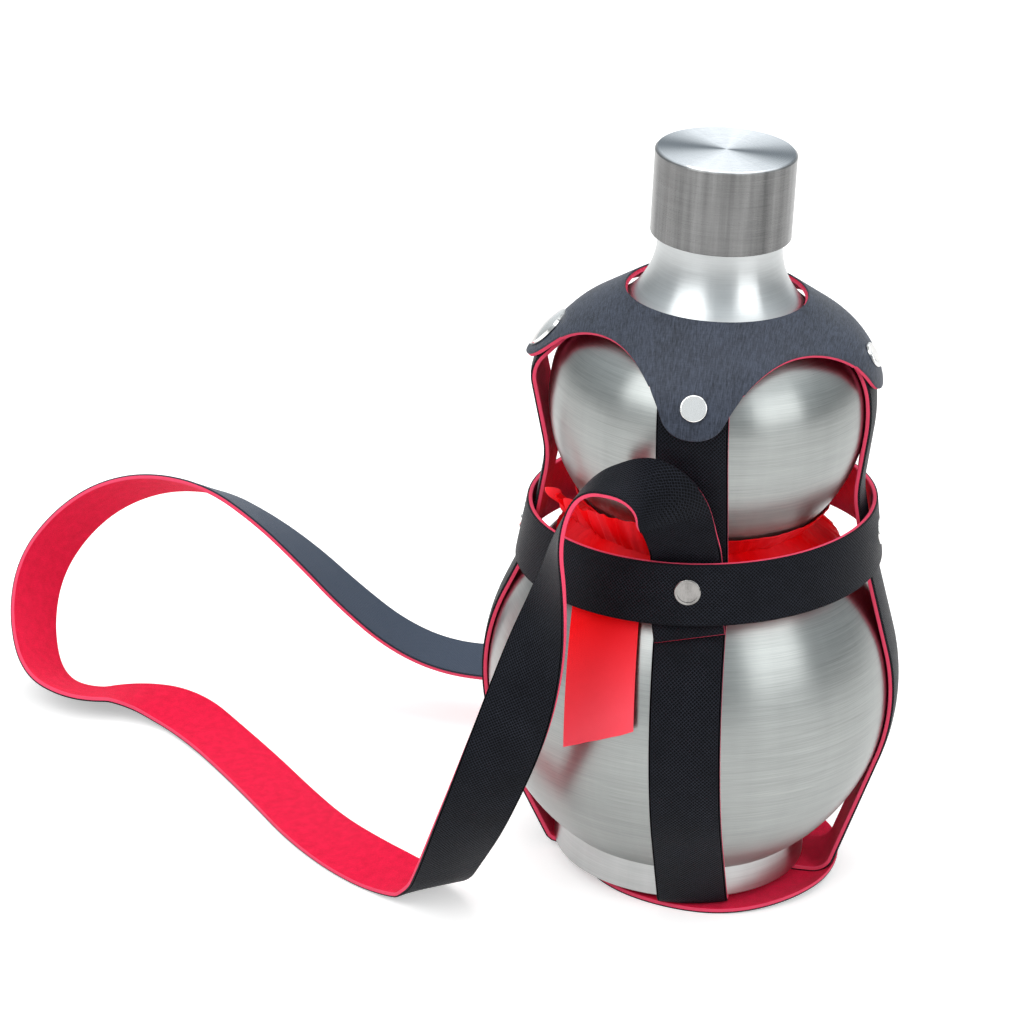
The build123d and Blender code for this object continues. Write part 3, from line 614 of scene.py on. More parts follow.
def loop_mesh(
    name: str,
    points: np.ndarray,
    grain: np.ndarray,
    marks: dict[str, np.ndarray],
    closed: bool = False,
) -> bpy.types.Object:
    """Makes a closed mesh from loops of points that follow each other.

    Args:
        name: The piece's name.
        points: Points in millimetres, (loops, points of a loop, 3).
        grain: Own coordinates of each point, the same shape.
        marks: Numbers stored on the points, each (loops, points of a loop).
        closed: Whether the last loop joins the first; if not, both ends are capped.

    Returns:
        The new object.
    """
    loops, count = points.shape[:2]
    number = np.arange(loops * count).reshape(loops, count)
    following = np.roll(number, -1, axis=0) if closed else number[1:]
    current = number if closed else number[:-1]
    quads = np.stack(
        [current, np.roll(current, -1, axis=1), np.roll(following, -1, axis=1), following], axis=-1
    ).reshape(-1, 4)
    flat = points.reshape(-1, 3) * MM
    faces = quads.tolist()
    if not closed:
        faces += [number[0][::-1].tolist(), number[-1].tolist()]
    inward = signed_volume(flat - flat.mean(axis=0), quads) < 0
    if inward:
        faces = [face[::-1] for face in faces]
    mesh = bpy.data.meshes.new(name)
    mesh.from_pydata(flat, [], faces)
    own = mesh.attributes.new("grain", "FLOAT_VECTOR", "POINT")
    own.data.foreach_set("vector", grain.reshape(-1).astype(np.float32))
    for key, values in marks.items():
        store = mesh.attributes.new(key, "FLOAT", "POINT")
        store.data.foreach_set("value", values.reshape(-1).astype(np.float32))
    mesh.update()
    return finish_object(name, mesh)


def finish_object(name: str, mesh: bpy.types.Mesh, merge: float = 1e-7) -> bpy.types.Object:
    """Closes poles, shades smoothly between sharp corners and links the object.

    Args:
        name: The object's name.
        mesh: Its mesh, in metres.
        merge: Points nearer than this become one.

    Returns:
        The object, at the origin.
    """
    work = bmesh.new()
    work.from_mesh(mesh)
    bmesh.ops.remove_doubles(work, verts=work.verts, dist=merge)
    work.to_mesh(mesh)
    work.free()
    mesh.shade_smooth()
    mesh.set_sharp_from_angle(angle=radians(SHARP_ANGLE))
    made = bpy.data.objects.new(name, mesh)
    bpy.context.scene.collection.objects.link(made)
    return made


def arc(centre: Point, size: float, start: float, stop: float, count: int = 4) -> np.ndarray:
    """Points on an arc, angles in degrees."""
    angles = np.radians(np.linspace(start, stop, count))
    return np.stack([centre[0] + size * np.cos(angles), centre[1] + size * np.sin(angles)], axis=1)


def eased_size(low: float, high: float) -> float:
    """Radius of the eased corners of a layer between two depths."""
    return 0.6 * min(high - low, 0.5)


@dataclass(frozen=True)
class CutSection:
    """Closed section of one layer: a flat bar whose outer corners are eased."""

    width: float
    low: float
    high: float
    eased_high: bool
    columns: int = 12
    margin: float = 0.45

    def loop(self) -> tuple[np.ndarray, np.ndarray]:
        """Goes round the section: outer side, right wall, inner side, left wall.

        Returns:
            (across, depth) of each point, and 1 on the cut walls or 0 elsewhere.
        """
        ease = eased_size(self.low, self.high)
        half = self.width / 2
        upper = ease if self.eased_high else 0.0
        lower = 0.0 if self.eased_high else ease
        corners = [
            arc((half - upper, self.high - upper), upper, 90, 0) if upper else [(half, self.high)],
            arc((half - lower, self.low + lower), lower, 0, -90) if lower else [(half, self.low)],
        ]
        right = np.vstack([self._row(half - upper, self.high), *corners])
        left = (right * (-1, 1))[::-1]
        bottom = self._row(half - lower, self.low)[::-1]
        loop = np.vstack([right, bottom, left])
        keep = np.hypot(*(loop - np.roll(loop, 1, axis=0)).T) > 1e-6
        loop = loop[keep]
        wall = (np.abs(loop[:, 0]) > half - min(self.margin, half) / 2).astype(float)
        return loop, wall

    def _row(self, half: float, level: float) -> np.ndarray:
        """Points across one side, with a close pair by each edge."""
        inner = np.linspace(-(half - self.margin), half - self.margin, self.columns)
        across = np.concatenate([[-half], inner, [half]])
        return np.stack([across, np.full_like(across, level)], axis=1)


def layer_loop(width: float, layer: Layer) -> tuple[np.ndarray, np.ndarray]:
    """Section of one layer of a strap, the free side eased."""
    return CutSection(width, layer.low, layer.high, layer is Layer.FACE).loop()


def own_grain(points: np.ndarray, loop: np.ndarray, length: np.ndarray) -> np.ndarray:
    """Own coordinates of a strap's points.

    Args:
        points: The strap's points, (rows, points of the section, 3).
        loop: Its section, (across, depth).
        length: Length along the strap, a column with one number for each row.

    Returns:
        Across, along and depth of each point.
    """
    grain = np.empty_like(points)
    grain[..., 0] = loop[None, :, 0]
    grain[..., 1] = length
    grain[..., 2] = loop[None, :, 1]
    return grain


def spread(values: np.ndarray, points: np.ndarray) -> np.ndarray:
    """Repeats a row or a column of numbers over all points of a mesh."""
    return np.broadcast_to(values, points.shape[:2])


def spun(reach: np.ndarray, azimuth: np.ndarray, height: np.ndarray) -> np.ndarray:
    """Points round the bottle's axis.

    Args:
        reach: Distances from the axis.
        azimuth: Angles in radians, from -Y towards +X.
        height: Heights.

    Returns:
        The points, the three arrays spread over each other.
    """
    x, y = reach * np.sin(azimuth), -reach * np.cos(azimuth)
    return np.stack(np.broadcast_arrays(x, y, height), axis=-1)


def dress(piece: bpy.types.Object, material: bpy.types.Material) -> bpy.types.Object:
    """Gives a new piece its finish and logs the finish's name."""
    piece.data.materials.clear()
    piece.data.materials.append(material)
    log.info("piece %s: %s", piece.name, material.name)
    return piece


def cut_layer(
    part: str,
    layer: Layer,
    material: bpy.types.Material,
    shape: Shape,
    closed: bool = False,
) -> bpy.types.Object:
    """Makes one layer of a leather part and gives it its finish.

    Args:
        part: The part's name, which its CAD nodes start with.
        layer: Which layer.
        material: Its finish.
        shape: Points, own coordinates and marks for loop_mesh.
        closed: Whether the last loop joins the first.

    Returns:
        The new piece.
    """
    piece = loop_mesh(f"{part}_{layer.word}_cut", *shape, closed=closed)
    return dress(piece, material)


def fix(piece: bpy.types.Object, node: str) -> None:
    """Lets a piece ride on the bottle in place of a CAD node."""
    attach(piece, "root")
    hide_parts(node)


def unit(angle: float) -> Point:
    """Direction in the (radius, height) plane, in degrees above horizontal."""
    return cos(radians(angle)), sin(radians(angle))


def along(start: Point, angle: float, distance: float) -> Point:
    """The point moved by a distance in a direction."""
    step = unit(angle)
    return start[0] + distance * step[0], start[1] + distance * step[1]


@dataclass(frozen=True)
class Gourd:
    """Sizes of the steel bottle that the harness is pulled over."""

    foot_bottom: float = 3.2
    lower_radius: float = 59.0
    lower_centre: float = 58.7
    upper_radius: float = 45.7
    upper_centre: float = 145.5
    shoulder_radius: float = 22.0
    shoulder_start: float = 8.0
    neck_start: float = 166.0
    cap_top: float = 219.7
    foot_radius: float = 37.0
    axis_margin: float = 0.4

    @property
    def shoulder_centre(self) -> Point:
        """Centre of the shoulder's arc."""
        inside = self.upper_radius - self.shoulder_radius
        return along((0.0, self.upper_centre), self.shoulder_start, inside)


@dataclass(frozen=True)
class TautLine:
    """A strap surface pulled round pulleys in the (radius, height) plane.

    A pulley is a centre and a signed size, negative where the strap bends in.
    """

    pulleys: tuple[Pulley, ...]
    start_angle: float
    start_length: float = 0.0
    end_angle: float = -90.0
    arc_points: int = 120

    def rows(self, step: float) -> np.ndarray:
        """Walks the arcs and the tangent runs between them at an even step.

        Args:
            step: Distance between rows.

        Returns:
            Rows of radius, height, the outward normal's two parts, and length.
        """
        angles = [self.start_angle]
        for upper, lower in zip(self.pulleys, self.pulleys[1:]):
            across, down = lower[0][0] - upper[0][0], lower[0][1] - upper[0][1]
            share = max(-1.0, min(1.0, (upper[1] - lower[1]) / hypot(across, down)))
            angles.append(degrees(atan2(down, across)) + degrees(acos(share)))
        angles.append(self.end_angle)
        turns = [np.linspace(a, b, self.arc_points) for a, b in zip(angles, angles[1:])]
        normal = np.radians(np.concatenate(turns))
        size = np.repeat([pulley[1] for pulley in self.pulleys], self.arc_points)
        centre = np.repeat([pulley[0] for pulley in self.pulleys], self.arc_points, axis=0)
        outward = np.stack([np.cos(normal), np.sin(normal)], axis=1)
        place = centre + size[:, None] * outward
        if self.start_length > 0:
            top = along(tuple(place[0]), self.start_angle + 90, self.start_length)
            place = np.vstack([[top], place])
            outward = np.vstack([outward[:1], outward])
        reach = np.concatenate([[0.0], np.cumsum(np.hypot(*np.diff(place, axis=0).T))])
        marks = np.linspace(0.0, reach[-1], max(2, round(reach[-1] / step)))
        table = np.column_stack([place, outward])
        rows = np.stack([np.interp(marks, reach, table[:, k]) for k in range(4)], axis=1)
        rows[:, 2:] /= np.hypot(rows[:, 2], rows[:, 3])[:, None]
        return np.column_stack([rows, marks])


class SteelParts:
    """The bottle's metal, seal and cap, which keep their CAD shapes."""

    def __init__(self, nodes: dict[str, bpy.types.Object], gourd: Gourd) -> None:
        """Keeps the CAD nodes and the bottle's sizes."""
        self.nodes = nodes
        self.gourd = gourd

    def dress_all(self) -> None:
        """Gives each kept node its material.

        The bulbs' brush lines are measured round their own centres. The collar, the
        foot and the cap have none, so their lines go by height and radius.
        """
        gourd = self.gourd
        lower = BrushedSteel(
            "brushed_steel_lower", gourd.lower_centre, gourd.lower_radius
        ).build()
        # The upper bulb's neck gets a painted highlight above neck_start.
        upper = BrushedSteel(
            "brushed_steel_upper", gourd.upper_centre, gourd.upper_radius, neck=gourd.neck_start
        ).build()
        turned = BrushedSteel(
            "turned_steel",
            None,
            0.0,
            colour=(0.56, 0.57, 0.565, 1.0),
            dark=(0.4, 0.41, 0.405, 1.0),
            bands=0.9,
        ).build()
        # The cap's top gets painted light from above and two painted dark reflection wedges.
        cap = BrushedSteel(
            "cap_steel",
            None,
            0.0,
            colour=(0.25, 0.25, 0.247, 1.0),
            dark=(0.1, 0.1, 0.1, 1.0),
            roughness=0.28,
            anisotropy=0.82,
            bands=2.6,
            lines=0.8,
            top=gourd.cap_top,
        ).build()
        nickel = PolishedNickel().build()
        # The belt stud is a darker copy of the nickel.
        tone_and_sheen = PolishedNickel(
            "darker_nickel", (0.3, 0.29, 0.28, 1.0), (0.08, 0.077, 0.073, 1.0)
        ).build()
        plastic = Moulded(
            "liner_plastic", (0.05, 0.05, 0.055, 1.0), (0.075, 0.075, 0.08, 1.0), 0.42
        ).build()
        rubber = Moulded(
            "gasket_rubber", (0.75, 0.75, 0.73, 1.0), (0.62, 0.62, 0.6, 1.0), 0.6
        ).build()
        finishes = {
            "lower_bulb": lower,
            "bottom_plate": turned,
            "foot_ring": turned,
            "upper_bulb": upper,
            "mouth_collar": turned,
            "cap_shell": cap,
            "cap_liner": plastic,
            "cap_gasket": rubber,
            "snap_cap": nickel,
            "snap_socket": nickel,
            "snap_stud": nickel,
            "snap_post": nickel,
            "yoke_rivets": nickel,
            "belt_rivets": nickel,
            "belt_stud": tone_and_sheen,
            "base_rivet": nickel,
        }
        for name, material in finishes.items():
            node = self.nodes[name]
            if not node.material_slots:
                node.data.materials.append(material)
            for place in node.material_slots:
                place.material = material
            log.info("node %s: %s", name, material.name)


@dataclass(frozen=True)
class BeltSizes:
    """The belt round the waist, sheared so that its left side sits lower."""

    height: float = 18.0
    middle: float = 106.0
    outer_radius: float = 51.0
    slope: float = 0.065
    bend_radius: float = 58.0
    bend_angle: float = 8.5
    gap: float = 0.5

    def bend_centre(self, surface: float, size: float, shift: float) -> Point:
        """Centre of a concave bend whose surface leans at the belt's middle."""
        offset = along((0.0, 0.0), self.bend_angle, size)
        return surface + offset[0], self.middle + shift + offset[1]


class HarnessStraps:
    """The two straps that cross under the foot and climb the bottle.

    The long strap runs from front to back and is tucked in further under the belt.
    The side strap runs from left to right, leans in over the groove, hops over the
    long strap under the foot, and lies flat under the snap on the left. A corner is
    how far a strap stands out beside the foot, and the size of its bend there.
    """

    def __init__(self, gourd: Gourd, belt: BeltSizes) -> None:
        """Keeps the shapes that the straps are pulled round, and the straps' sizes."""
        self.gourd = gourd
        self.belt = belt
        self.width = 20.0
        self.shift_x = 8.5
        self.shift_y = 1.0
        self.tuck = 3.7
        self.tucked_bend = 30.0
        self.plain_bend = 40.0
        self.sag_radius = 44.6
        self.sag_size = 30.0
        self.sag_height = 125.0
        self.snap_height = 161.6
        self.snap_gap = 0.45
        self.snap_flat = 4.6
        self.snap_bend = 8.4
        self.snap_tip = 11.5
        self.near_corner = (1.7, 2.5)
        self.wide_corner = (7.0, 5.0)
        self.foot_inset = 2.5
        self.hop_margin = 1.5
        self.hop_run = 5.0
        self.hop_height = 1.65
        self.tip_height = 151.6
        self.step = 1.1
        self.under_rows = 60

    def _belt_pulley(self, shift: float, tuck: float) -> Pulley:
        """The bend where the belt pulls a strap in."""
        surface = self.belt.outer_radius - THICKNESS - self.belt.gap - THICKNESS - tuck
        size = self.tucked_bend if tuck > 0 else self.plain_bend
        return self.belt.bend_centre(surface, size, shift), -size

    def _sag_pulley(self) -> Pulley:
        """The bend where a slack strap leans in over the groove."""
        return (self.sag_radius + self.sag_size, self.sag_height), -self.sag_size

    def _low_pulleys(self, reach: float, size: float) -> list[Pulley]:
        """The lower bulb and the corner under the foot."""
        gourd = self.gourd
        bulb = ((0.0, gourd.lower_centre), gourd.lower_radius + gourd.axis_margin)
        across = gourd.foot_radius - self.foot_inset + reach
        return [bulb, ((across, gourd.foot_bottom + size), size)]

    def _plain_line(self, shift: float, tuck: float, reach: float, size: float) -> TautLine:
        """Line of a strap that lies on the steel from the shoulder down."""
        gourd = self.gourd
        shoulder = (gourd.shoulder_centre, gourd.shoulder_radius + gourd.axis_margin)
        bulb = ((0.0, gourd.upper_centre), gourd.upper_radius + gourd.axis_margin)
        sag = [self._sag_pulley()] if tuck == 0 else []
        pulleys = [shoulder, bulb, *sag, self._belt_pulley(shift, tuck)]
        pulleys += self._low_pulleys(reach, size)
        return TautLine(tuple(pulleys), SNAP_ANGLE)

    def _snap_line(self, shift: float) -> TautLine:
        """Line of the left strap, flat under the snap and then down to the belt."""
        gourd, height = self.gourd, self.snap_height
        normal = unit(SNAP_ANGLE)
        centre = gourd.shoulder_centre
        support = centre[0] * normal[0] + centre[1] * normal[1]
        support = support + gourd.shoulder_radius + YOKE_LIFT + THICKNESS
        face = ((support - height * normal[1]) / normal[0], height)
        inner = along(face, SNAP_ANGLE, -(THICKNESS + self.snap_gap + THICKNESS))
        below = along(inner, SNAP_ANGLE - 90, self.snap_flat)
        bend = (along(below, SNAP_ANGLE, -self.snap_bend), self.snap_bend)
        pulleys = [bend, self._sag_pulley(), self._belt_pulley(shift, 0.0)]
        pulleys += self._low_pulleys(*self.near_corner)
        return TautLine(tuple(pulleys), SNAP_ANGLE, self.snap_tip)

    def _side(
        self, line: TautLine, loop: np.ndarray, lateral_axis: int, sign: float
    ) -> tuple[np.ndarray, np.ndarray]:
        """One side of a strap, spun round the axis and kept to the strap's width.

        Args:
            line: The strap's line in (radius, height).
            loop: Its section, (across, depth).
            lateral_axis: 0 where the strap's width runs along X, 1 along Y.
            sign: Which side of the axis it is on.

        Returns:
            Points (rows, points of the section, 3) and the length of each row.
        """
        rows = line.rows(self.step)
        depth = loop[None, :, 1]
        reach = rows[:, 0:1] + depth * rows[:, 2:3]
        height = rows[:, 1:2] + depth * rows[:, 3:4]
        across = loop[None, :, 0] + self._shift(height, lateral_axis)
        outward = sign * np.sqrt(np.maximum(reach**2 - across**2, 0.0))
        order = (across, outward, height) if lateral_axis == 0 else (outward, across, height)
        return np.stack(order, axis=-1), rows[:, 4]

    def _shift(self, height: np.ndarray, lateral_axis: int) -> np.ndarray:
        """Sideways place of a strap's middle: the long strap leans as it goes down."""
        if lateral_axis == 1:
            return np.full_like(height, self.shift_y)
        drop = self.tip_height - height
        return self.shift_x * drop / (self.tip_height - self.gourd.foot_bottom)

    def _hop(self, across: np.ndarray) -> np.ndarray:
        """Height that the side strap gains where it crosses over the long strap."""
        reach = np.abs(across - self.shift_x)
        edge = self.width / 2 + self.hop_margin
        share = np.clip((edge + self.hop_run - reach) / self.hop_run, 0.0, 1.0)
        return self.hop_height * share * share * (3 - 2 * share)

    def _join(self, first: TautLine, second: TautLine, layer: Layer, lateral_axis: int) -> Shape:
        """Both sides of a strap and the flat run under the foot.

        Args:
            first: Line of the side towards minus.
            second: Line of the side towards plus.
            layer: Which layer.
            lateral_axis: 0 where the strap's width runs along X, 1 along Y.

        Returns:
            Points, own coordinates and edge marks for loop_mesh.
        """
        loop, wall = layer_loop(self.width, layer)
        down, down_length = self._side(first, loop, lateral_axis, -1.0)
        back, back_length = self._side(second, loop, lateral_axis, 1.0)
        back, back_length = back[::-1], back_length[-1] - back_length[::-1]
        share = np.linspace(0.0, 1.0, self.under_rows + 2)[1:-1, None, None]
        under = down[-1][None] * (1 - share) + back[0][None] * share
        if lateral_axis == 1:
            under[..., 2] += self._hop(under[..., 0])
        gap = float(np.abs(down[-1] - back[0]).max())
        under_length = down_length[-1] + gap * share[:, 0, 0]
        points = np.concatenate([down, under, back])
        length = np.concatenate([down_length, under_length, down_length[-1] + gap + back_length])
        grain = own_grain(points, loop, length[:, None])
        return points, grain, {"edge": spread(wall, points)}

    def build(self, finishes: dict[Layer, bpy.types.Material]) -> None:
        """Builds the long strap and the side strap, two layers each."""
        shift = self.belt.slope * self.belt.outer_radius
        front = self._plain_line(0.0, self.tuck, *self.near_corner)
        right = self._plain_line(shift, 0.0, *self.wide_corner)
        left = self._snap_line(-shift)
        straps = (("long_strap", front, front, 0), ("side_strap", left, right, 1))
        for layer, material in finishes.items():
            for strap, first, second, axis in straps:
                shape = self._join(first, second, layer, axis)
                fix(cut_layer(strap, layer, material, shape), f"{strap}_{layer.word}")


class Belt:
    """The belt that ties the straps in round the waist."""

    def __init__(self, sizes: BeltSizes) -> None:
        """Keeps the belt's sizes."""
        self.sizes = sizes
        self.seam = 182.9
        self.seam_gap = 0.05
        self.columns = 420

    def _points(self, layer: Layer) -> Shape:
        """Carries the section round the axis on the belt's concave surface.

        The radius and height come from an arc round the bend's centre; the height
        then gains the slope times x. The two ends meet behind the back rivet.

        Args:
            layer: Which layer.

        Returns:
            Points, own coordinates and edge marks for loop_mesh.
        """
        sizes = self.sizes
        loop, wall = layer_loop(sizes.height, layer)
        centre = sizes.bend_centre(sizes.outer_radius - THICKNESS, sizes.bend_radius, 0.0)
        middle = sizes.bend_radius - THICKNESS / 2
        turn = radians(180 + sizes.bend_angle) - loop[:, 0] / middle
        size = sizes.bend_radius - loop[:, 1]
        reach = centre[0] + size * np.cos(turn)
        height = centre[1] + size * np.sin(turn)
        ends = (self.seam - 360.0 + self.seam_gap, self.seam - self.seam_gap)
        azimuth = np.radians(np.linspace(*ends, self.columns))[:, None]
        points = spun(reach, azimuth, height)
        points[..., 2] += sizes.slope * points[..., 0]
        grain = own_grain(points, loop, azimuth * sizes.outer_radius)
        return points, grain, {"edge": spread(wall, points)}

    def build(self, finishes: dict[Layer, bpy.types.Material]) -> None:
        """Builds the belt's two layers."""
        for layer, material in finishes.items():
            fix(cut_layer("belt", layer, material, self._points(layer)), f"belt_{layer.word}")


@dataclass
class Pad:
    """The round pad under the foot, its right edge curling up off the table."""

    radius: float = 39.5
    flat_radius: float = 33.0
    centre: Point = (8.5, 1.0)
    face_depth: float = 0.5
    curls: tuple[tuple[float, int, float], ...] = ((78.0, 3, 2.6), (150.0, 6, 1.2))
    columns: int = 240
    rings: int = 26

    def _points(self, layer: Layer) -> Shape:
        """Disc layer: rings out from the centre on top, over the rim, and back below.

        The rim wavers, and each curl (angle, power, height) lifts one side of it.

        Args:
            layer: Which layer; the face is underneath.

        Returns:
            Points, own coordinates and edge marks for loop_mesh.
        """
        face = layer is Layer.FACE
        low, high = (0.0, self.face_depth) if face else (self.face_depth, THICKNESS)
        ease = 0.25
        out = np.linspace(0.0, self.radius - ease, self.rings)
        top = np.stack([out, np.full_like(out, high)], axis=1)
        bottom = np.stack([out, np.full_like(out, low)], axis=1)[::-1]
        inner = self.radius - ease
        if face:
            rim = np.vstack([[(self.radius, high)], arc((inner, low + ease), ease, 0, -90)])
        else:
            rim = np.vstack([arc((inner, high - ease), ease, 90, 0), [(self.radius, low)]])
        loop = np.vstack([top, rim, bottom])
        out, depth = loop[None, :, 0], loop[None, :, 1]
        azimuth = np.linspace(0.0, 2 * pi, self.columns, endpoint=False)[:, None]
        waver = 1.0 + 0.006 * np.sin(3 * azimuth + 0.6) + 0.004 * np.sin(7 * azimuth)
        grain = spun(out * waver, azimuth, depth)
        share = np.clip((out - self.flat_radius) / (self.radius - self.flat_radius), 0.0, 1.0)
        lift = sum(
            np.clip(np.cos(azimuth - radians(angle)), 0, 1) ** power * height
            for angle, power, height in self.curls
        )
        points = grain + (*self.centre, 0.0)
        points[..., 2] += lift * share**2
        wall = (loop[:, 0] > self.radius - ease / 2).astype(float)
        return points, grain, {"edge": spread(wall, points)}

    def build(self, finishes: dict[Layer, bpy.types.Material]) -> None:
        """Builds the pad's two layers."""
        for layer, material in finishes.items():
            piece = cut_layer("pad", layer, material, self._points(layer), closed=True)
            fix(piece, f"pad_{layer.word}")


class Yoke:
    """The four-lobed yoke round the neck, its left arm closing with a snap.

    The window gives the half width and the half height of the ellipses cut out
    along the diagonals. A lobe gives the half width and the height of its round
    tip, and a tip the height above the floor where the leather ends.
    """

    def __init__(self, gourd: Gourd) -> None:
        """Keeps the bottle's sizes and sets the yoke's own."""
        self.gourd = gourd
        self.lift = YOKE_LIFT
        self.hole_radius = 23.3
        self.hole_height = 178.1
        self.window = (30.0, 24.6)
        self.front_lobe = (14.0, 12.0)
        self.side_lobe = (14.35, 10.0)
        self.front_tip = 151.6
        self.side_tip = 154.2
        self.bulb_angle = -2.0
        self.overrun = 14.0
        self.easing = 0.3
        self.fine = 0.1
        self.tail_steps = 400
        self.azimuths = 5761
        self.margin = 0.012
        self.columns = 560
        self.rows = 38

    def _line(self, flap: bool) -> tuple[np.ndarray, float]:
        """Underside from above the neck hole down past the lobes' tips.

        Args:
            flap: Whether it is the flat left arm or the rest, which follows the bulb.

        Returns:
            Rows of radius, height, normal and length, and the angle at the hole.
        """
        gourd = self.gourd
        centre, size = gourd.shoulder_centre, gourd.shoulder_radius + self.lift
        across, rise = self.hole_radius - centre[0], self.hole_height - centre[1]
        end = degrees(atan2(rise, across) - acos(size / hypot(across, rise)))
        if flap:
            arm = TautLine(((centre, size),), end, self.overrun, SNAP_ANGLE)
            line = arm.rows(self.fine)
            last = line[-1]
            steps = np.arange(1, self.tail_steps)[:, None] * self.fine
            tail = last[:2] + steps * unit(SNAP_ANGLE - 90)
            normal = np.broadcast_to(last[2:4], (len(steps), 2))
            line = np.vstack([line, np.column_stack([tail, normal, last[4] + steps])])
            return line, end
        bulb = ((0.0, gourd.upper_centre), gourd.upper_radius + self.lift)
        line = TautLine(((centre, size), bulb), end, self.overrun, self.bulb_angle)
        return line.rows(self.fine), end

    def _kept(self, x: np.ndarray, y: np.ndarray, z: np.ndarray) -> np.ndarray:
        """Positive where the leather is kept.

        A point goes where it is inside an ellipse seen along either diagonal, or
        below a lobe's middle and outside the ellipse that rounds its tip. Where the
        two cuts meet, the easing rounds the corner between them.

        Args:
            x: Place across.
            y: Place along.
            z: Height.

        Returns:
            The smooth least of the clearances from these cuts.
        """
        half, rise = self.window
        level = ((z - self.gourd.upper_centre) / rise) ** 2
        first = ((x + y) ** 2 / 2) / half**2 + level - 1
        second = ((x - y) ** 2 / 2) / half**2 + level - 1
        front = np.abs(x) < np.abs(y)
        width, length = (np.where(front, a, b) for a, b in zip(self.front_lobe, self.side_lobe))
        tip = np.where(front, self.front_tip, self.side_tip) + length
        offset = np.where(front, x, y)
        round_tip = 1 - (offset / width) ** 2 - ((z - tip) / length) ** 2
        window = np.minimum(first, second)
        lobe = np.where(z < tip, round_tip, 1.0)
        blend = np.clip(0.5 + 0.5 * (lobe - window) / self.easing, 0.0, 1.0)
        return lobe * (1 - blend) + window * blend - self.easing * blend * (1 - blend)

    def _outline(
        self, lines: dict[bool, np.ndarray], depth: float
    ) -> tuple[np.ndarray, np.ndarray]:
        """How far down the leather reaches at each azimuth.

        Args:
            lines: The underside's rows, by whether they belong to the arm.
            depth: Depth at which the cut is measured.

        Returns:
            Azimuths at an even step along the cut, and the length there.
        """
        azimuth = np.linspace(-pi, pi, self.azimuths)[:-1]
        reach = np.empty_like(azimuth)
        places = np.empty((len(azimuth), 3))
        arm = self._is_arm(azimuth)
        for flap in (False, True):
            rows = lines[flap]
            radius = rows[:, 0] + depth * rows[:, 2]
            height = rows[:, 1] + depth * rows[:, 3]
            turn = azimuth[arm == flap][:, None]
            kept = self._kept(*np.moveaxis(spun(radius, turn, height), -1, 0))
            stop = np.argmax(kept < 0, axis=1)
            pick = np.arange(len(turn))
            before, after = kept[pick, stop - 1], kept[pick, stop]
            share = before / (before - after)
            length = rows[stop - 1, 4] * (1 - share) + rows[stop, 4] * share
            reach[arm == flap] = length
            r = np.interp(length, rows[:, 4], radius)
            h = np.interp(length, rows[:, 4], height)
            places[arm == flap] = spun(r, turn[:, 0], h)
        gaps = np.linalg.norm(places - np.roll(places, 1, axis=0), axis=1)
        travel = np.concatenate([np.cumsum(gaps) - gaps[0], [gaps.sum()]])
        marks = np.linspace(0.0, travel[-1], self.columns, endpoint=False)
        whole_turn = np.concatenate([azimuth, [pi]])
        chosen = np.interp(marks, travel, whole_turn)
        return chosen, np.interp(chosen, whole_turn, np.concatenate([reach, reach[:1]]))

    @staticmethod
    def _is_arm(azimuth: np.ndarray) -> np.ndarray:
        """Whether each azimuth, from -Y towards +X, belongs to the left arm."""
        return np.abs(azimuth + pi / 2) < pi / 4

    def _points(self, layer: Layer) -> Shape:
        """Rows run down each azimuth from the neck hole to the cut and back inside.

        Args:
            layer: Which layer.

        Returns:
            Points, own coordinates and edge marks for loop_mesh.
        """
        made = {flap: self._line(flap) for flap in (False, True)}
        lines = {flap: pair[0] for flap, pair in made.items()}
        end = radians(made[False][1])
        azimuth, cut = self._outline(lines, THICKNESS / 2)
        share, inset, depth = self._section(layer)
        top = lines[False][0]
        start = (self.hole_radius - top[0] - depth * cos(end)) / sin(end)
        length = start[None] + (cut[:, None] - start[None]) * share[None]
        length = length + (inset * (1 - 2 * share))[None]
        arm = self._is_arm(azimuth)
        values = np.empty((len(azimuth), len(share), 4))
        for flap in (False, True):
            rows, chosen = lines[flap], arm == flap
            for part in range(4):
                values[chosen, :, part] = np.interp(length[chosen], rows[:, 4], rows[:, part])
        radius = values[..., 0] + depth[None] * values[..., 2]
        height = values[..., 1] + depth[None] * values[..., 3]
        turn = azimuth[:, None]
        points = spun(radius, turn, height)
        grain = spun(self.hole_radius + length - start[None], turn, depth)
        wall = ((inset < 0.2) & ((share == 0) | (share == 1))).astype(float)
        return points, grain, {"edge": spread(wall, points)}

    def _section(self, layer: Layer) -> tuple[np.ndarray, np.ndarray, np.ndarray]:
        """Goes round the layer: outer rows down, the cut, inner rows up, the hole.

        Args:
            layer: Which layer.

        Returns:
            Share of the way down, inset from the cut, and depth of each point.
        """
        ease = eased_size(layer.low, layer.high)
        inner = np.linspace(self.margin, 1 - self.margin, self.rows)
        share = np.concatenate([[0.0], inner, [1.0]])
        turn = np.radians(np.linspace(0, 90, 4))[1:]
        face = layer is Layer.FACE
        parts = []
        for level, sign, eased in ((layer.high, -1, face), (layer.low, 1, not face)):
            drop = ease if eased else 0.0
            run = np.stack([share, np.full_like(share, drop), np.full_like(share, level)], axis=1)
            inset = drop * (1 - np.sin(turn))
            depth = level + sign * drop * (1 - np.cos(turn))
            corner = np.stack([np.ones(3), inset, depth], axis=1)
            first = corner[::-1] * (0, 1, 1)
            parts.append(np.vstack([first, run, corner] if eased else [run]))
        loop = np.vstack([parts[0], parts[1][::-1]])
        return loop[:, 0], loop[:, 1], loop[:, 2]

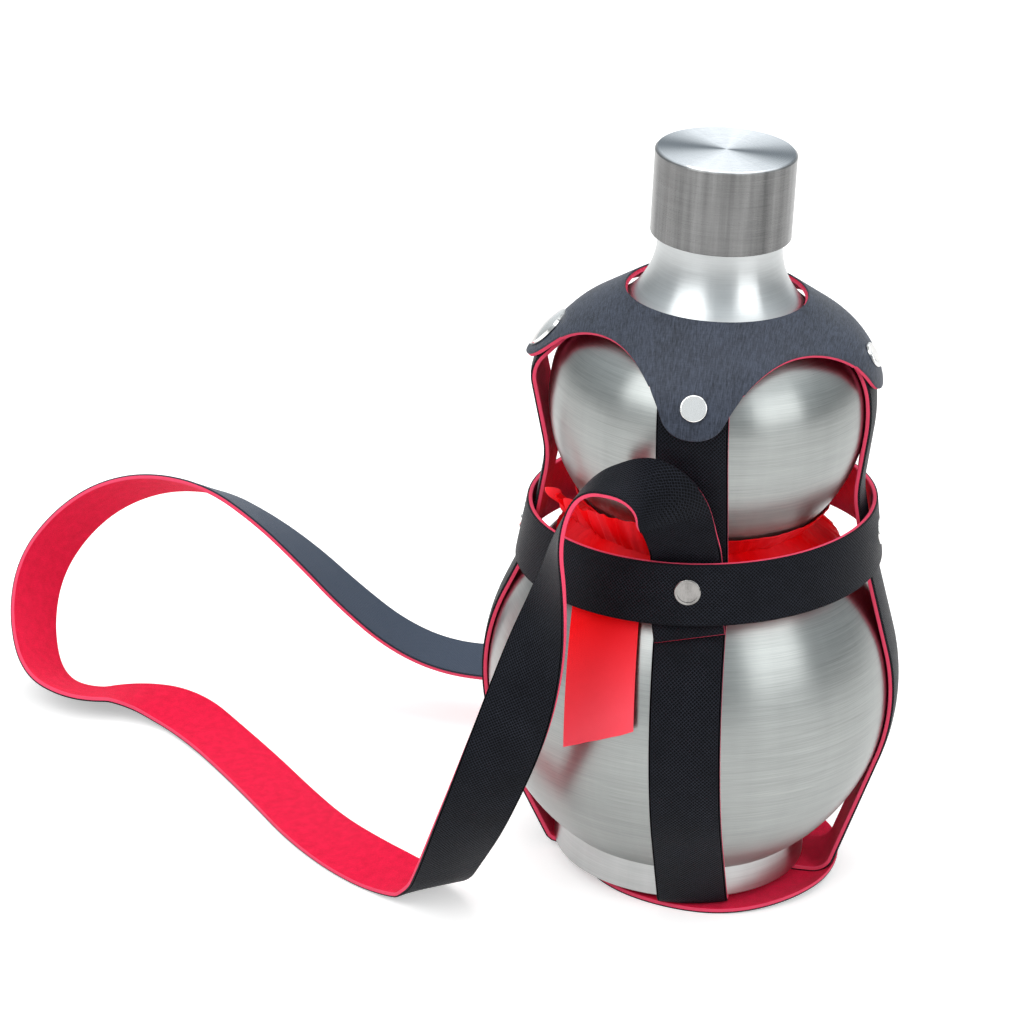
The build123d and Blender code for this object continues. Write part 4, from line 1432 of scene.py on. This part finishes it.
    def build(self, finishes: dict[Layer, bpy.types.Material]) -> None:
        """Builds the yoke's two layers, each bending at the left arm's fold."""
        for layer, material in finishes.items():
            shape = self._points(layer)
            piece = cut_layer("yoke", layer, material, shape, closed=True)
            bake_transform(piece)
            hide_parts(f"yoke_{layer.word}", f"flap_{layer.word}")


class CarryStrap:
    """The long loose strap that leaves the belt in front and joins it behind.

    Each station is a place on the middle line and the direction of the strap's
    width there. The far stretch, from one share of the way to another, gets a
    painted slate reflection of the sky.
    """

    stations = (
        ((3.6, -51.4, 93.4), (1, 0, 0.12)),
        ((2.2, -48.5, 98.6), (1, 0, 0.05)),
        ((1, -46.5, 107), (1, 0, 0)),
        ((1, -46.4, 116), (1, 0, 0)),
        ((-1, -50, 124), (1, 0.05, 0.05)),
        ((-3, -57, 134), (0.85, 0.4, 0.3)),
        ((-13, -61, 144), (0.25, 0.93, 0.2)),
        ((-27, -60, 141), (0.15, 0.98, -0.1)),
        ((-33, -63, 127), (-0.1, 0.98, -0.2)),
        ((-34, -66, 110), (-0.5, 0.85, -0.15)),
        ((-37, -70, 92), (-0.85, 0.5, 0)),
        ((-41, -74, 74), (-0.98, 0.15, 0.15)),
        ((-47, -75, 55), (-0.95, -0.2, 0.25)),
        ((-53, -70, 37), (-0.9, -0.35, 0.2)),
        ((-59, -61, 20), (-0.82, -0.55, 0.12)),
        ((-65, -50, 4), (-0.77, -0.63, 0.05)),
        ((-76, -43, 2.5), (-0.7, -0.7, -0.12)),
        ((-90, -35, 3), (-0.65, -0.73, -0.2)),
        ((-106, -19, 2), (-0.77, -0.62, -0.1)),
        ((-120, 0, 1), (-0.79, -0.61, 0)),
        ((-134, 18, 1), (-0.76, -0.65, 0)),
        ((-148, 34, 1.5), (-0.62, -0.78, 0)),
        ((-163, 47, 3.5), (-0.4, -0.9, -0.15)),
        ((-179, 50, 5), (-0.3, -0.93, 0.15)),
        ((-195, 46, 4.5), (-0.35, -0.88, 0.3)),
        ((-209, 52, 7), (-0.45, -0.77, 0.42)),
        ((-216, 65, 19), (-0.52, -0.64, 0.52)),
        ((-216, 76, 33), (-0.5, -0.64, 0.57)),
        ((-208, 83, 46), (-0.4, -0.68, 0.6)),
        ((-196, 87, 56), (-0.3, -0.72, 0.6)),
        ((-180, 90, 61), (-0.2, -0.8, 0.55)),
        ((-162, 88, 61), (-0.12, -0.88, 0.45)),
        ((-145, 84, 54), (-0.08, -0.94, 0.3)),
        ((-130, 80, 45), (-0.1, -0.97, 0.15)),
        ((-115, 76, 34), (-0.12, -0.99, 0.06)),
        ((-100, 74, 24), (-0.1, -1, 0)),
        ((-84, 72, 19), (-0.05, -1, -0.05)),
        ((-66, 71, 19), (0, -1, -0.1)),
        ((-48, 70, 23), (0, -0.99, -0.12)),
        ((-31, 69, 31), (-0.15, -0.98, 0)),
        ((-17, 67, 43), (-0.45, -0.87, 0.2)),
        ((-8, 65, 57), (-0.78, -0.57, 0.25)),
        ((-2, 62, 72), (-0.95, -0.25, 0.15)),
        ((0, 56, 85), (-1, -0.05, 0.05)),
        ((1, 48.4, 99.4), (-1, 0, 0)),
        ((1, 46.5, 107), (-1, 0, 0)),
        ((1, 46.4, 114.5), (-1, 0, 0)),
    )
    width = 20.0
    length = 0.7506
    # Where the painted sky reflection rises and falls along the strap, and how strong it is.
    sheen_start = 0.58
    sheen_stop = 0.93
    sheen_ramp = 0.06
    sheen_share = 0.85

    def _spline(self, control: np.ndarray) -> np.ndarray:
        """Points of the smooth NURBS line through a frame of control points.

        Args:
            control: Control points in metres.

        Returns:
            Points along the line.
        """
        curve = bpy.data.curves.new("route", "CURVE")
        curve.dimensions = "3D"
        curve.resolution_u = 12
        spline = curve.splines.new("NURBS")
        spline.points.add(len(control) - 1)
        spline.points.foreach_set("co", np.column_stack([control, np.ones(len(control))]).ravel())
        spline.order_u = 3
        spline.use_endpoint_u = True
        holder = bpy.data.objects.new("route", curve)
        bpy.context.scene.collection.objects.link(holder)
        bpy.context.view_layer.update()
        mesh = bpy.data.meshes.new_from_object(holder)
        points = np.empty(len(mesh.vertices) * 3)
        mesh.vertices.foreach_get("co", points)
        bpy.data.objects.remove(holder)
        bpy.data.curves.remove(curve)
        bpy.data.meshes.remove(mesh)
        return points.reshape(-1, 3)

    def _frames(self) -> tuple[np.ndarray, np.ndarray, np.ndarray]:
        """Middle line, width direction and outward direction of the black face.

        The width direction is the way from the middle line to a second line that
        runs beside it; the face looks along minus heading cross width.

        Returns:
            Points in millimetres and two unit vectors for each.
        """
        centre = np.array([place for place, _ in self.stations], float)
        side = np.array([across for _, across in self.stations], float)
        side /= np.linalg.norm(side, axis=1)[:, None]
        line = self._spline(centre * MM) / MM
        beside = self._spline((centre + side * self.width / 2) * MM) / MM
        heading = np.gradient(line, axis=0)
        heading /= np.linalg.norm(heading, axis=1)[:, None]
        across = beside - line
        across -= heading * np.einsum("ij,ij->i", across, heading)[:, None]
        across /= np.linalg.norm(across, axis=1)[:, None]
        return line, across, -np.cross(heading, across)

    def build(self, finishes: dict[Layer, bpy.types.Material]) -> None:
        line, across, outward = self._frames()
        steps = np.linalg.norm(np.diff(line, axis=0), axis=1)
        travel = np.concatenate([[0.0], np.cumsum(steps)])
        run = travel / travel[-1]
        rise = np.clip((run - self.sheen_start) / self.sheen_ramp, 0.0, 1.0)
        fall = np.clip((self.sheen_stop - run) / self.sheen_ramp, 0.0, 1.0)
        # Painted reflection: the slate sky sheen along the far stretch, stored for the shader.
        tone_and_sheen = self.sheen_share * rise * fall
        pieces = {}
        for layer, material in finishes.items():
            loop, wall = layer_loop(self.width, layer)
            depth = loop[None, :, 1:2] - THICKNESS / 2
            points = line[:, None] + loop[None, :, 0:1] * across[:, None] + depth * outward[:, None]
            grain = own_grain(points, loop, travel[:, None])
            marks = {"edge": spread(wall, points), "fade": spread(tone_and_sheen[:, None], points)}
            pieces[layer] = cut_layer("carry_strap", layer, material, (points, grain, marks))
            fix(pieces[layer], f"carry_strap_{layer.word}")
        tuple(line[0] * MM)
        self.width * MM
        (line * MM).tolist()


class Ribbon:
    """Satin ribbon wound in the groove between the bulbs, knotted at the left.

    The flat sizes are metres, across and along.
    """

    def __init__(self, gourd: Gourd) -> None:
        """Keeps the bottle's sizes."""
        self.gourd = gourd
        self.thickness = 0.35
        self.gap = 0.35
        self.wrap_middle = 109.4
        self.wrap_half = 7.4
        self.wrap_flat = (0.0195, 2 * pi * 0.0378)
        self.knot_flat = (0.0115, 0.049)

    def _bulge(self, centre: float, radius: float, height: np.ndarray) -> np.ndarray:
        """Distance of the ribbon's inner side from the axis where it lies on a bulb."""
        return np.sqrt(np.maximum((radius + self.gap) ** 2 - (height - centre) ** 2, 0))

    def _sheet(
        self, name: str, middle: np.ndarray, grain: np.ndarray, fade: np.ndarray
    ) -> bpy.types.Object:
        """Gives a surface of points a thin closed wall.

        The normals come from the surface's own two directions; the wall runs half
        its thickness to each side.

        Args:
            name: The piece's name.
            middle: Points in millimetres, (along, across, 3).
            grain: Own coordinates, (along, across, 2).
            fade: How coral each point is.

        Returns:
            The new object.
        """
        thick = self.thickness
        down = np.gradient(middle, axis=0)
        over = np.gradient(middle, axis=1)
        normal = np.cross(down, over)
        normal /= np.linalg.norm(normal, axis=2)[..., None]
        front = middle + normal * thick / 2
        back = (middle - normal * thick / 2)[:, ::-1]
        points = np.concatenate([front, back], axis=1)
        own = np.concatenate([grain, grain[:, ::-1]], axis=1)
        depth = np.concatenate([np.zeros(fade.shape), np.full(fade.shape, thick)], axis=1)
        own = np.concatenate([own, depth[..., None]], axis=2)
        marks = {"fade": np.concatenate([fade, fade[:, ::-1]], axis=1)}
        return loop_mesh(name, points, own, marks)

    def _tail(
        self, name: str, offset: float, corners: tuple[float, ...], waves: tuple[float, float]
    ) -> tuple[bpy.types.Object, float, float]:
        """A tail that lies near the lower bulb, from the belt to its slanted end.

        Its place across and its height are blended between its corners; its
        distance from the bulb's centre adds slow waves that grow towards the end.

        Args:
            name: The piece's name.
            offset: Distance off the steel.
            corners: Left and right edge at the top and at the end, top height, and
                the heights of the end's two corners.
            waves: Height of the waves and how much painted coral sheen the end has.

        Returns:
            The piece, its width and its length in metres.
        """
        top_left, top_right, low_left, low_right, top, end_left, end_right = corners
        swell, coral = waves
        down = np.linspace(0.0, 1.0, 90)[:, None]
        over = np.linspace(0.0, 1.0, 30)[None, :]
        left = top_left * (1 - down) + low_left * down
        right = top_right * (1 - down) + low_right * down
        x = left * (1 - over) + right * over
        fray = 0.35 * np.sin(over * 21) * over * (1 - over)
        end = end_left * (1 - over) + end_right * over + fray
        z = top * (1 - down) + end * down
        folds = np.sin(over * 5.2 + down * 3.0) + 0.5 * np.sin(over * 2.6 - down * 5.0 + 1.0)
        wave = swell * down * folds
        size = self.gourd.lower_radius + offset + swell * 0.9 * down + wave
        y = -np.sqrt(size**2 - x**2 - (z - self.gourd.lower_centre) ** 2)
        middle = np.stack([x, y, z], axis=-1)
        width, length = abs(top_right - top_left), top - (end_left + end_right) / 2
        grain = np.stack(np.broadcast_arrays(over * width, down * length), axis=-1)
        # Painted sheen: coral that grows towards the tail's end.
        fade = coral * np.clip(down * 1.5 - 0.35 + 0.25 * (over - 0.5), 0, 1)
        piece = self._sheet(name, middle, grain, fade)
        return piece, width * MM, length * MM

    def _wrap(self) -> tuple[bpy.types.Object, float, float]:
        """The wound part: a gathered band whose pleats slant round the waist.

        Its radius follows the groove between the bulbs. The pleats are slanted
        waves, and shorter waves of other pitches break them up.

        Returns:
            The piece, its width and its length in metres.
        """
        azimuth = np.linspace(0.0, 2 * pi, 721)[:, None]
        over = np.linspace(-1.0, 1.0, 26)[None, :]
        height = self.wrap_middle + over * self.wrap_half
        gourd = self.gourd
        lower = self._bulge(gourd.lower_centre, gourd.lower_radius, height)
        upper = self._bulge(gourd.upper_centre, gourd.upper_radius, height)
        groove = np.maximum(lower, upper)
        pleat = np.sin(azimuth * 17 + over * 2.2) + 0.6 * np.sin(azimuth * 41 - over * 3.1 + 1.3)
        pleat = pleat + 0.4 * np.sin(azimuth * 73 + over * 4.0 + 0.4)
        reach = groove + 0.75 + 0.28 * pleat * (1 - 0.5 * over**2)
        grain = np.stack(np.broadcast_arrays(over * 6.0, azimuth * 36.0), axis=-1)
        # Painted sheen: coral patches round the wound part.
        fade = 0.15 + 0.15 * np.sin(azimuth * 9 + over)
        piece = self._sheet("waist_ribbon_wound", spun(reach, azimuth, height), grain, fade)
        return piece, *self.wrap_flat

    def _knot(self) -> tuple[bpy.types.Object, float, float]:
        """The crumpled bow: a ribbon that winds up and down beside the strap.

        The middle line zigzags between two heights while it moves round the waist.
        Its waves fade along the run, so that it ends in a smooth loop by the front.

        Returns:
            The piece, its width and its length in metres.
        """
        run = np.linspace(0.0, 1.0, 420)[:, None]
        over = np.linspace(-1.0, 1.0, 20)[None, :]
        loose = 0.08 + 0.92 * (1.0 - run) ** 2
        turn = np.radians(-67.0 + run * 52.0 + 1.8 * loose * np.sin(run * 46.0))
        middle = 116.6 + 0.3 * run + 1.5 * loose * np.sin(run * 52.0)
        pinch = 1 - 0.25 * loose * np.sin(run * 33.0) ** 2
        height = middle + over * (3.4 + 1.8 * run) * pinch
        bulb = self._bulge(self.gourd.upper_centre, self.gourd.upper_radius, height)
        crumple = 1.5 * np.sin(run * 74.0 + over * 1.4) + 0.8 * np.sin(over * 3.0 + run * 29.0)
        reach = bulb + 7.0 - 4.0 * run + loose * crumple + 5.5 * run * (1 - over) / 2
        grain = np.stack(np.broadcast_arrays(over * 5.0, run * 75.0), axis=-1)
        # Painted sheen: coral patches along the knot.
        fade = 0.1 + 0.2 * np.sin(run * 23.0 + over)
        piece = self._sheet("ribbon_knot_gathered", spun(reach, turn, height), grain, fade)
        return piece, *self.knot_flat

    def build(self, material: bpy.types.Material) -> None:
        """Builds the wound part, the knot and both tails."""
        front = (-31.5, -11.8, -29.6, -9.5, 104.0, 56.5, 67.0)
        rear = (-29.0, -12.4, -28.2, -12.2, 101.0, 72.0, 70.5)
        front_tail = "ribbon_front_tail"
        rear_tail = "ribbon_rear_tail"
        made = {
            "waist_ribbon": (self._wrap(), "gathered"),
            "ribbon_knot": (self._knot(), "gathered"),
            front_tail: (self._tail(f"{front_tail}_cut", 1.5, front, (0.55, 1.0)), "hung"),
            rear_tail: (self._tail(f"{rear_tail}_cut", 0.55, rear, (0.0, 0.3)), "hung"),
        }
        for node, ((piece, width, length), held) in made.items():
            fix(dress(piece, material), node)


@dataclass(frozen=True)
class View:
    """Where the photograph was taken from, fitted to the bottle's outline."""

    place: tuple[float, float, float] = (92.86, -1088.7, 588.68)
    pitch: float = 23.84
    yaw: float = -7.73
    roll: float = 2.89
    lens_share: float = 4135.0 / 1024.0
    sensor: float = 36.0
    clip_end: float = 50.0

    def build(self) -> bpy.types.Object:
        """Creates the camera; its columns are right, up and backwards.

        Returns:
            The camera object.
        """
        pitch, yaw, roll = radians(self.pitch), radians(self.yaw), radians(self.roll)
        forward = Vector((sin(yaw) * cos(pitch), cos(yaw) * cos(pitch), -sin(pitch)))
        level = Vector((cos(yaw), -sin(yaw), 0.0))
        rise = level.cross(forward)
        right = level * cos(roll) + rise * sin(roll)
        up = -level * sin(roll) + rise * cos(roll)
        data = bpy.data.cameras.new("photo_camera")
        data.sensor_width = self.sensor
        data.lens = self.lens_share * self.sensor
        data.clip_end = self.clip_end
        camera = bpy.data.objects.new("photo_camera", data)
        turn = Matrix((right, up, -forward)).transposed().to_4x4()
        camera.matrix_world = Matrix.Translation(Vector(self.place) * MM) @ turn
        bpy.context.scene.collection.objects.link(camera)
        bpy.context.scene.camera = camera
        return camera


@dataclass
class Studio:
    """Pale floor, soft lamps and a bright surround."""

    floor_radius: float = 7.0
    floor_sides: int = 64
    floor_glow: float = 0.42
    aim: tuple[float, float, float] = (0.0, 0.0, 0.11)
    lamps: tuple = (
        ("key", (-0.75, -0.85, 1.25), 1.2, 13.0),
        ("fill", (1.25, -0.75, 0.85), 1.0, 8.0),
        ("top", (0.1, 0.3, 1.4), 1.4, 11.0),
    )

    def _floor(self) -> None:
        """A broad disc that shows white and keeps the shadow."""
        azimuth = np.linspace(0.0, 2 * pi, self.floor_sides, endpoint=False)
        rim = np.stack([np.cos(azimuth), np.sin(azimuth), np.zeros_like(azimuth)], axis=1)
        mesh = bpy.data.meshes.new("studio_floor")
        mesh.from_pydata(rim * self.floor_radius, [], [list(range(self.floor_sides))])
        floor = bpy.data.objects.new("studio_floor", mesh)
        bpy.context.scene.collection.objects.link(floor)
        net = Net(bpy.data.materials.new("studio_floor"))
        path = net.node("ShaderNodeLightPath").outputs
        seen = (
            Value(net, path["Is Camera Ray"])
            + Value(net, path["Is Glossy Ray"])
            + Value(net, path["Is Transmission Ray"])
        ).held()
        cloud = net.noise(net.node("ShaderNodeTexCoord").outputs["Object"], 3.0)
        paper = net.mix(cloud, (0.84, 0.84, 0.84, 1.0), (0.87, 0.87, 0.87, 1.0))
        matt = net.node("ShaderNodeBsdfDiffuse", None, {"Color": paper})
        glow = net.node("ShaderNodeEmission", None, {"Strength": seen * self.floor_glow})
        both = net.node("ShaderNodeAddShader", None, {0: matt.outputs[0], 1: glow.outputs[0]})
        net.node("ShaderNodeOutputMaterial", None, {"Surface": both.outputs[0]})
        mesh.materials.append(net.owner)

    def _surround(self) -> None:
        """White to the camera, and dimmer for the light that it sheds.

        A reflected ray finds it slightly blue, and greyer low down in front and at
        the sides.
        """
        world = bpy.data.worlds.new("studio_surround")
        bpy.context.scene.world = world
        net = Net(world)
        path = net.node("ShaderNodeLightPath").outputs
        seen = (Value(net, path["Is Camera Ray"]) + Value(net, path["Is Transmission Ray"])).held()
        x, y, z = net.split(net.node("ShaderNodeTexCoord").outputs["Generated"])
        height = z.between(0.0, 0.8)
        dim = (abs(x).between(0.25, 0.85) * 0.6).larger((-1.0 * y).between(0.0, 0.7) * 0.6)
        mirrored = 1.0 - dim * (1.0 - height)
        glossy = Value(net, path["Is Glossy Ray"])
        light = glossy * mirrored + (1.0 - glossy) * 0.55
        strength = seen + (1.0 - seen) * light
        tint = net.mix(glossy, WHITE, (0.9, 0.96, 1.0, 1.0))
        shine = net.node("ShaderNodeBackground", None, {"Color": tint, "Strength": strength})
        net.node("ShaderNodeOutputWorld", None, {"Surface": shine.outputs[0]})

    def build(self) -> None:
        """Builds the floor, the surround and the lamps, which look at the bottle."""
        self._floor()
        self._surround()
        for name, place, size, power in self.lamps:
            data = bpy.data.lights.new(f"{name}_lamp", "AREA")
            data.size = size
            data.energy = power
            lamp = bpy.data.objects.new(f"{name}_lamp", data)
            lamp.location = place
            aim = Vector(self.aim) - Vector(place)
            lamp.rotation_euler = aim.to_track_quat("-Z", "Y").to_euler()
            bpy.context.scene.collection.objects.link(lamp)


def main() -> None:
    """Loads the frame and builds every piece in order."""
    logging.basicConfig(level=logging.INFO, format="%(name)s %(message)s")
    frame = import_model()
    bpy.context.scene.view_settings.view_transform = "Standard"
    View().build()
    gourd, belt = Gourd(), BeltSizes()
    felt = Felt().build()
    hatch = CrossHatchLeather().build()
    straps = {Layer.FACE: hatch, Layer.LINING: felt}
    CarryStrap().build(straps)
    SteelParts(frame["nodes"], gourd).dress_all()
    HarnessStraps(gourd, belt).build(straps)
    Belt(belt).build(straps)
    Pad().build(straps)
    Yoke(gourd).build({Layer.FACE: GrainedLeather().build(), Layer.LINING: felt})
    Ribbon(gourd).build(Satin().build())
    Studio().build()


if __name__ == "__main__":
    main()
